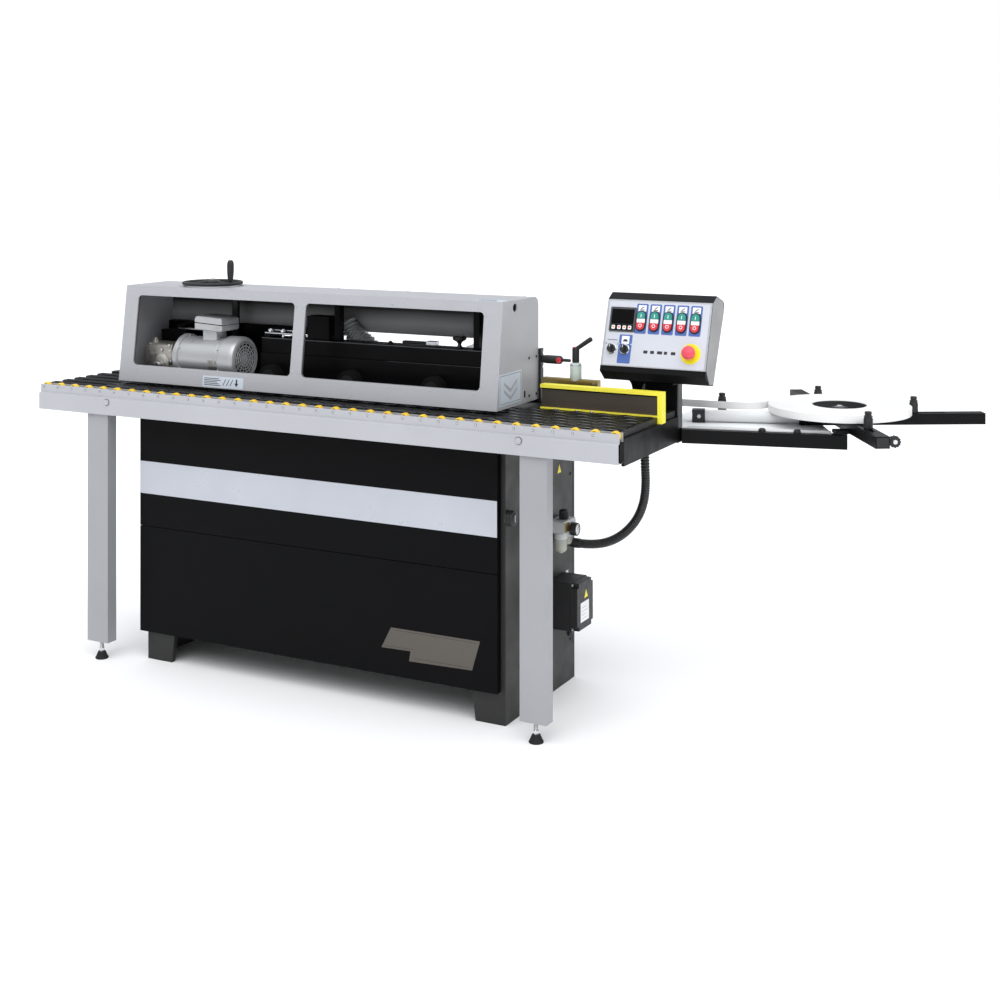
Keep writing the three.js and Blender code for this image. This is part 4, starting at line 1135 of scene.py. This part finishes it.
def add_console():
    face = Shape(CONSOLE_TURN)
    face.prism("y", rounded(-158, 158, -98, 96, 2, 2), -0.7, 0.2)
    face.use(1)
    for x0, x1, z0, z1 in ((-163.6, 163.6, 96, 99.6), (-163.6, 163.6, -101, -98),
            (-163.6, -158, -98, 96), (158, 163.6, -98, 96)):
        face.box(x0, x1, -1.3, 0.2, z0, z1)
    piece("console_face", face, [face_foil, ground], bevel=0.3)
    # Painted light: a grey plate on the black case's right side, where the light falls.
    piece("console_side", Shape(CONSOLE_TURN).prism("x", [(1, -98), (42, -131), (74, -124),
        (99, 106), (84, 125), (26, 125), (1, 99)], 163.8, 164.5), console_side_light, bevel=0.3)
    display = Shape(CONSOLE_TURN)
    display.prism("y", rounded(-150, -68, 2, 76, 4), -3.6, -0.6)
    display.use(1).prism("y", rounded(-145, -74, 25, 70, 2), -4.0, -3.4)
    display.prism("y", rounded(-145, -74, 6, 24, 2), -3.9, -3.4)
    for k, x in enumerate((-136, -118, -101, -84)):
        display.use(2).prism("y", rounded(x - 5.5, x + 5.5, 9, 20.5, 2.5), -4.4, -3.6)
        display.use(3 + k % 2).prism("y", rounded(x - 3, x + 3, 13, 18, 1.2), -4.6, -4.2)
    piece("console_display", display, [display_frame, glass_black, white_foil, key_orange,
        stop_red], bevel=0.2)
    plates = Shape(CONSOLE_TURN)
    for x in BUTTON_XS:
        plates.use(0).prism("y", rounded(x - 18, x + 18, -1, 89, 4), -1.1, -0.5)
        plates.use(1).prism("y", rounded(x - 12.5, x + 12.5, 66, 84.5, 1), -1.5, -1.0)
        plates.use(2)
        plates.prism("y", [(x - 7, 69.5), (x + 7, 69.5), (x + 7, 71.5), (x - 7, 71.5)], -1.7, -1.4)
        plates.prism("y", [(x - 5, 74), (x + 4, 81), (x + 6, 79.5), (x - 3, 72.5)], -1.7, -1.4)
    plates.use(0).prism("y", rounded(-113, -72, -92, -6, 3), -1.1, -0.5)
    plates.use(1).prism("y", rounded(-105, -81, -34, -10, 1), -1.5, -1.0)
    plates.use(2).prism("y", arc(-93, -27, 7.5, 0, 180, 10), -1.7, -1.4)
    for x in (-134, -93):
        plates.use(2 if x < -100 else 1)
        for k in (-1, 1):
            plates.prism("y", rounded(x + k * 19 - 1.5, x + k * 19 + 1.5, -36, -33, 1), -1.6, -0.6)
    plates.use(2).prism("y", rounded(-150, -118, -24, -22.4, 0.6, 2), -0.95, -0.6)
    for k, width in enumerate((13, 12, 16, 10, 14)):
        plates.prism("y", rounded(-33 + 21.4 * k, -33 + 21.4 * k + width, -59, -50, 1.4, 2), -0.95,
            -0.6)
    piece("console_labels", plates, [blue_foil, white_foil, ink])
    piece("stop_yellow_ring", Shape(CONSOLE_TURN).lathe("y", [(9.3, -2.4), (29.2, -2.4), (30, -1.8),
        (30, -0.5), (9.3, -0.5)], 113, -53, 64, hollow=True), ring_yellow)
    bezels = Shape(CONSOLE_TURN)
    for x in BUTTON_XS:
        stadium(bezels, x, 37, 15.9, 31, 12.9, 27.6, -4.6, -0.4)
    piece("button_bezels", bezels, plastic, bevel=0.5)
    middles = Shape(CONSOLE_TURN)
    for x in BUTTON_XS:
        middles.box(x - 12.7, x + 12.7, -5.9, -0.6, 31.0, 43.2)
    piece("button_middles", middles, white_foil, bevel=0.8)
    for i, x in enumerate(BUTTON_XS, 1):
        top = Shape(CONSOLE_TURN)
        outline = [(x + 12.2, 43.5), (x + 12.2, 52)] + arc(x, 52, 12.2, 0, 180, 16)[1:] + [
            (x - 12.2, 43.5)]
        top.prism("y", outline, -6.9, 9)
        top.use(1).prism("y", rounded(x - 1.1, x + 1.1, 47, 57, 1), -7.15, -6.6)
        piece(f"start_cap_{i}", top, [green, white_foil], body=f"start_button_{i}", bevel=0.7,
            segments=3, replaces=True)
        low_cap = Shape(CONSOLE_TURN)
        outline = [(x - 12.2, 30.7), (x - 12.2, 22)] + arc(x, 22, 12.2, 180, 360, 16)[1:] + [
            (x + 12.2, 30.7)]
        low_cap.prism("y", outline, -6.9, 9)
        low_cap.use(1)
        ring_plate(low_cap, x, 22.5, 5.4, 3.6, -7.15, -6.6)
        piece(f"stop_cap_{i}", low_cap, [red, white_foil], body=f"stop_button_{i}", bevel=0.7,
            segments=3, replaces=True)
    for i, x in enumerate((-134, -93), 1):
        piece(f"selector_collar_{i}", Shape(CONSOLE_TURN).lathe("y",
            [(9, -3.6), (14, -3.6), (15.6, -2.4), (15.6, -0.6), (9, -0.6)], x, -50, 48,
            hollow=True), chrome)
        knob = Shape(CONSOLE_TURN)
        knob.lathe("y", [(11, -9), (12.4, -7.6), (12.6, -3.9), (8, -3.9), (8, 12)], x, -50, 48)
        knob.prism("y", rounded(x - 3.9, x + 3.9, -61.8, -38.2, 2.6), -19.8, -8)
        knob.use(1).box(x - 0.8, x + 0.8, -20.0, -19.4, -48, -39.5)
        piece(f"selector_grip_{i}", knob, [plastic, white_foil], body=f"selector_{i}", bevel=0.7,
            replaces=True)
    piece("stop_mushroom", Shape(CONSOLE_TURN).lathe("y", [(0, -33.9), (7, -33.4), (14, -31.6),
        (18, -28.6), (19.8, -24.6), (19.8, -19), (17.4, -15.6), (11, -14.4), (8.4, -14), (8.4, 11)],
        113, -53, 64), stop_red, body="emergency_stop", replaces=True)
    back = Shape(CONSOLE_TURN)
    for x, z in ((-140, 80), (140, 80), (-140, -90), (140, -90), (0, 80)):
        y = 76 + (z + 127) * 26 / 234
        back.lathe("y", [(5, y - 2), (5, y + 0.6), (2.5, y + 1.6), (0, y + 1.8)], x, z, 20)
    piece("console_back_screws", back, ground)


display_frame = moulded("display_frame", (0.06, 0.06, 0.066))
# Painted light: mid grey for the lit right side of the black satin console case.
console_side_light = painted("console_side_painted_light", (0.26, 0.26, 0.265), 0.4, specular=0.5, grain=1100,
    strength=0.15)


def stadium(shape, x, z, rx, rz, ix, iz, y0, y1):
    """An upright oval frame."""
    outer = arc(x, z + rz - rx, rx, 0, 180, 16) + arc(x, z - rz + rx, rx, 180, 360, 16)
    inner = arc(x, z + iz - ix, ix, 0, 180, 16) + arc(x, z - iz + ix, ix, 180, 360, 16)
    shape.loops([[(a, y, b) for a, b in ring] for y, ring in ((y0, outer), (y0, inner), (y1, inner),
        (y1, outer))])


def ring_plate(shape, x, z, outer, inner, y0, y1):
    shape.lathe("y", [(inner, y0), (outer, y0), (outer, y1), (inner, y1)], x, z, 28, hollow=True)


# ---------- cabinet side: junction box and air unit ----------
def add_junction_box():
    j = Shape()
    notch = 13
    y0, y1, z0, z1 = 381, 498, 199, 343
    j.prism("x", [(y0 + notch, z0), (y1 - notch, z0), (y1 - notch, z0 + notch), (y1, z0 + notch),
        (y1, z1 - notch), (y1 - notch, z1 - notch), (y1 - notch, z1), (y0 + notch, z1),
        (y0 + notch, z1 - notch), (y0, z1 - notch), (y0, z0 + notch), (y0 + notch, z0 + notch)],
        1740, 1761.6)
    j.prism("x", rounded(y0, y1, z0, z1, 3), 1669.6, 1740.5)
    j.lathe("z", [(7, 172.4), (9.8, 176), (10.8, 184), (10.8, 199.5)], 1716, 425, 6)
    piece("junction_case", j, plastic, bevel=1.8, segments=3, replaces=["junction_box"])
    s = Shape()
    for y in (y0 + 6.5, y1 - 6.5):
        for z in (z0 + 6.5, z1 - 6.5):
            s.lathe("x", [(4.4, 1740), (4.4, 1744), (3, 1745.4), (0, 1745.6)], y, z, 20)
    piece("junction_screws", s, ground)
    piece("junction_seam", Shape().prism("x", rounded(y0 - 0.3, y1 + 0.3, z0 - 0.3, z1 + 0.3, 3.2),
        1737.4, 1738.8), seam_black_and_painted_shade)
    labels = Shape()
    labels.prism("x", rounded(405, 466, 222, 281, 2), 1761.4, 1762.0)
    labels.use(1).prism("x", [(432, 291), (458, 291), (445, 315)], 1761.4, 1762.0)
    labels.use(2)
    for row in range(4):
        labels.prism("x", rounded(414, 456 - 9 * (row % 2), 231 + 11 * row, 233 + 11 * row, 0.8),
            1761.8, 1762.1)
    piece("junction_labels", labels, [white_foil, ring_yellow, stripe_mat])
    tags = Shape()
    tags.prism("x", rounded(499, 516, 331, 346, 1.5), 1668.8, 1669.5)
    tags.use(1).prism("x", [(438, 658), (464, 658), (451, 684)], 1668.8, 1669.6)
    piece("side_tags", tags, [white_foil, ring_yellow])


def add_air_unit():
    a = Shape()
    a.prism("x", rounded(377, 461, 489, 527, 5), 1669.6, 1720)
    a.lathe("z", [(20, 472.6), (20.6, 474), (20.6, 489), (0, 489.5)], 1700, 397, 40)
    a.lathe("z", [(20, 472.6), (20.6, 474), (20.6, 489), (0, 489.5)], 1700, 441, 40)
    a.use(1)
    a.lathe("z", [(6, 429), (7, 432), (13, 433), (17.8, 438), (18.6, 446), (18.6, 473)], 1700, 397,
        44)
    a.lathe("z", [(10, 445), (16.5, 449), (18.6, 455), (18.6, 473)], 1700, 441, 44)
    a.use(2)
    a.prism("x", rounded(379, 413, 494, 522, 3), 1719.4, 1722)
    a.rod("z", 4.4, 428.2, 433, 1700, 397, 6)
    a.rod("x", 11, 1669.6, 1684, 450, 466, 6)
    a.rod("x", 8.5, 1684, 1704, 450, 452, 24)
    a.use(3)
    a.lathe("x", [(11.4, 1702), (12.6, 1704), (12.6, 1712), (14.6, 1713.5), (14.8, 1716),
        (14.8, 1739), (13.6, 1741)], 450, 450, 10)
    a.lathe("x", [(17, 1719), (19.6, 1721), (19.8, 1724), (19.8, 1739), (18.4, 1741.6),
        (16.4, 1741.6), (16.4, 1739.4)], 430, 497, 48)
    a.use(4)
    a.rod("x", 16.2, 1739.2, 1739.9, 430, 497, 40)
    a.use(3)
    for k in range(9):
        t = math.radians(-40 + 32.5 * k)
        a.tube([(1740.2, 430 + 11 * math.cos(t), 497 + 11 * math.sin(t)),
            (1740.2, 430 + 14.6 * math.cos(t), 497 + 14.6 * math.sin(t))], 0.5, 6)
    a.tube([(1740.5, 430, 497), (1740.5, 438, 505)], 0.7, 6)
    piece("air_preparation", a, [air_white, clear_bowl, gold, plastic, white_foil], bevel=0.5,
        replaces=["air_unit"])
    oil = Shape()
    oil.lathe("z", [(12, 434.6), (15.6, 439), (16.4, 446), (16.4, 455)], 1700, 397, 36)
    oil.lathe("z", [(10, 446.6), (15, 451), (16.4, 456), (16.4, 464)], 1700, 441, 36)
    piece("air_bowl_fill", oil, oil_mat)
    k = Shape()
    sides = []
    for i in range(24):
        for t, r in ((0, 14.7), (0.5, 14.7), (0.62, 13.5), (0.88, 13.5)):
            angle = 2 * math.pi * (i + t) / 24
            sides.append((1700 + r * math.cos(angle), 418 + r * math.sin(angle)))
    k.prism("z", sides, 529, 551)
    k.lathe("z", [(13.4, 550.6), (13.4, 553), (11, 555.8)], 1700, 418, 40)
    piece("regulator_cap", k, plastic, body="regulator_knob", bevel=0.5, replaces=True)
    piece("hose_collar", Shape().lathe("z", [(14.2, 776), (17.4, 776), (18.4, 779), (18.4, 796.6),
        (14.2, 796.6)], 1962, 421.4, 32, hollow=True), plastic, bevel=0.5)


air_white = painted("air_unit_grey", (0.55, 0.56, 0.56), 0.4, grain=1200)
oil_mat = clear("bowl_oil", (0.50, 0.44, 0.22), 0.2, 0.75)


# ---------- tape magazine ----------
COIL_X, COIL_Y, COIL_R = 2461, 735, 210
CROSS_ANGLE, SUPPORT_ANGLE = -58.5, 29.5
CROSS_TURN = turned(COIL_X, COIL_Y, 0, CROSS_ANGLE)
SUPPORT_TURN = turned(COIL_X, COIL_Y, 0, SUPPORT_ANGLE)
ARM_TURN = turned(2081, 477, 0, 14.3)


def add_coil():
    top, bottom = 884.9, 863.1
    r = 80.2
    outs = []
    k = 0
    while r < 209:
        dip = (0.0, 0.35, 0.1, 0.5, 0.2)[k % 5]
        outs += [(r, top - dip), (r + 2.2, top - dip - 0.05), (r + 2.5, top - 0.9)]
        r += 2.9
        k += 1
    profile = [(80.2, bottom)] + outs + [(209.6, top - 0.3), (209.9, top - 1), (209.9, bottom + 1),
        (209.4, bottom)]
    piece("edging_coil", Shape().lathe("z", profile, COIL_X, COIL_Y, 144, hollow=True), edging,
        body="tape", replaces=["tape_coil"], smooth=50)
    piece("coil_core", Shape().lathe("z", [(76.6, 863.4), (80, 863.4), (80, 883.6), (76.6, 883.6)],
        COIL_X, COIL_Y, 96, hollow=True), core_grey, body="tape", bevel=0.3)
    hub = Shape()
    hub.lathe("z", [(40, 862.4), (40, 864.6), (24.6, 866), (24.2, 877), (22, 878)], COIL_X, COIL_Y,
        48)
    hub.use(1)
    hub.lathe("z", [(9, 877.6), (9, 882), (7.6, 883.4)], COIL_X, COIL_Y, 6)
    hub.rod("z", 14, 877.6, 879.4, COIL_X, COIL_Y, 36)
    piece("coil_hub", hub, [core_grey, chrome], body="tape", bevel=0.3)
    piece("turntable_plate", Shape().rod("z", 118, 859.5, 862.6, COIL_X, COIL_Y, 96), core_grey,
        body="tape", replaces=["coil_plate"])


core_grey = moulded("coil_core_grey", (0.05, 0.051, 0.053), 0.75, 0.12)


def add_ribbon():
    """The end of the tape runs slack from the coil's left side to the console post."""
    route = [(1968, 613, 0), (2004, 619, 0), (2060, 627, 0), (2120, 632, 0), (2170, 637, 0),
        (2208, 650, 0), (2234, 674, 0), (2247, 703, 0), (2250.4, 735, 0)]
    line = [Vector((p.x, p.y)) for p in smooth_path(route, 5)]
    centre = Vector((COIL_X, COIL_Y))
    for k in range(1, 9):
        a = math.pi - math.radians(3.2) * k
        line.append(centre + Vector((math.cos(a), math.sin(a))) * (COIL_R + 0.6 - 0.06 * k))
    strip_wall("tape_ribbon", line, 0.5, 863.2, 884.8, edging)


def strip_wall(name, line, half, z0, z1, material):
    """A thin upright strip along a line of (x, y) points."""
    sections = []
    for i, p in enumerate(line):
        ahead = (line[min(i + 1, len(line) - 1)] - line[max(i - 1, 0)]).normalized()
        side = Vector((-ahead.y, ahead.x)) * half
        left, right = p + side, p - side
        sections.append([(*left, z0), (*right, z0), (*right, z1), (*left, z1)])
    piece(name, Shape().sweep(sections), material)


def add_pegs():
    def peg(name, x, y, body, replaces, low=859.4):
        p = Shape()
        p.lathe("z", [(12.8, low), (13, low + 1), (13, 887), (11.6, 889.6), (11.6, 893),
            (12.9, 895), (9.4, 897), (9.0, 900), (9.8, 901), (9.8, 906.4), (8.6, 907.8),
            (0, 907.9)], x, y, 36)
        p.rod("z", 4.3, 829, low + 1, x, y, 16)
        piece(name, p, plastic, body=body, bevel=0.3, replaces=replaces)

    for name, angle, distance in (("front", -58.5, 271), ("back", 121.5, 224.5),
            ("right", 29.5, 224.5)):
        a = math.radians(angle)
        peg(f"peg_post_{name}", COIL_X + distance * math.cos(a), COIL_Y + distance * math.sin(a),
            f"peg_{name}", [f"peg_{name}"])
    peg("tape_guide_peg", 2123, 650, "frame", [], low=826.2)


def add_magazine_details():
    c = Shape(turned(2053, 579, 845.2, 18.7))
    c.lathe("x", [(17.6, 38), (18, 39), (18, 318)], 0, 0, 56)
    c.use(1)
    c.prism("x", rounded(-19, 19, -19, 19, 4), 0, 38)
    c.prism("x", rounded(-19, 19, -19, 19, 4), 317, 336)
    c.use(2)
    for y in (-13, 13):
        for z in (-13, 13):
            c.rod("x", 3.2, -1.2, 1, y, z, 6)
    c.lathe("y", [(6, -22), (7, -20.6), (7, -17)], 20, 0, 6)
    piece("cutter_cylinder", c, [cylinder_alu, plastic, ground], bevel=0.8, segments=2)
    knobs = Shape(ARM_TURN)
    for d in (212, 313, 430):
        knobs.lathe("z", [(11, 821.9), (11, 824), (9.6, 829.6), (6.6, 832), (0, 832.4)], d, 0, 24)
    piece("arm_cap_nuts", knobs, plastic, bevel=0.3)
    piece("arm_washer", Shape(ARM_TURN).lathe("z", [(0, 779.6), (5, 779.0), (10, 780.4),
        (10, 782.3)], 430, 0, 28), ground)
    knob = Shape(CROSS_TURN)
    lobes = []
    for i in range(96):
        t = 2 * math.pi * i / 96
        r = 15.6 + 1.3 * math.cos(12 * t)
        lobes.append((38 + r * math.cos(t), 842.5 + r * math.sin(t)))
    knob.prism("x", lobes, 373, 389)
    knob.lathe("x", [(4.9, 362.4), (9, 366), (11, 372), (11, 374)], 38, 842.5, 28)
    knob.use(1)
    knob.lathe("x", [(6.4, 388.6), (6.4, 389.8), (0, 389.9)], 38, 842.5, 24)
    piece("star_knob_head", knob, [plastic, chrome], body="star_knob", bevel=0.8, replaces=True)
    piece("support_end_cap", Shape(SUPPORT_TURN).prism("x", rounded(-17, 17, 829, 856, 2), 435.9,
        436.4), plastic, bevel=0.4)
    cap = Shape(CROSS_TURN)
    cap.prism("x", rounded(-17, 17, 829, 856, 2), 395.9, 396.4)
    cap.prism("x", rounded(-17, 17, 829, 856, 2), -485.4, -484.9)
    piece("cross_end_caps", cap, plastic, bevel=0.4)
    piece("arm_end_cap", Shape(ARM_TURN).prism("x", rounded(-17, 17, 785, 819, 2), 454.9, 455.4),
        plastic, bevel=0.4)
    lips = Shape()
    edge = [(2074, 481), (2476, 583.5)]
    lips.prism("z", [edge[0], edge[1], (edge[1][0] - 0.6, edge[1][1] + 2.4),
        (edge[0][0] - 0.6, edge[0][1] + 2.4)], 825.5, 830)
    piece("tray_lip", lips, white, bevel=0.4)


cylinder_alu = painted("anodised_tube", (0.74, 0.75, 0.76), 0.4, specular=0.5, grain=1600,
    strength=0.02)


def add_post_details():
    bolts = Shape()
    for x, z in ((2000, 800), (2042, 800), (2000, 846), (2042, 846)):
        bolts.lathe("y", [(7, 450.4), (7, 446), (4, 445), (4, 447.6)], x, z, 6)
    bolts.box(1500, 1627, 397, 401, 878.2, 889.4)
    piece("post_bolts", bolts, cast_black, bevel=0.3)
    # Painted light: a dark grey sheet on the black post's lit right side.
    piece("post_side_sheet", Shape().prism("x", [(451, 824), (483.6, 824), (483.6, 1056),
        (452, 984), (421, 958), (451, 958)], 2052.1, 2056.5), post_side_light, bevel=0.6)


# Painted light: dark grey for the lit right side of the black-painted post.
post_side_light = painted("post_side_painted_light", (0.09, 0.09, 0.093), 0.42, specular=0.4, grain=1000)


add_rollers()
add_rail_details()
add_deck_ribs()
add_cabinet_details()
add_feet()
add_hood_details()
add_hood_painted_shade()
add_motor()
add_gearbox()
add_feed_wheels()
add_beam_details()
add_handwheel()
add_fence_details()
add_console()
add_junction_box()
add_air_unit()
add_coil()
add_ribbon()
add_pegs()
add_magazine_details()
add_post_details()
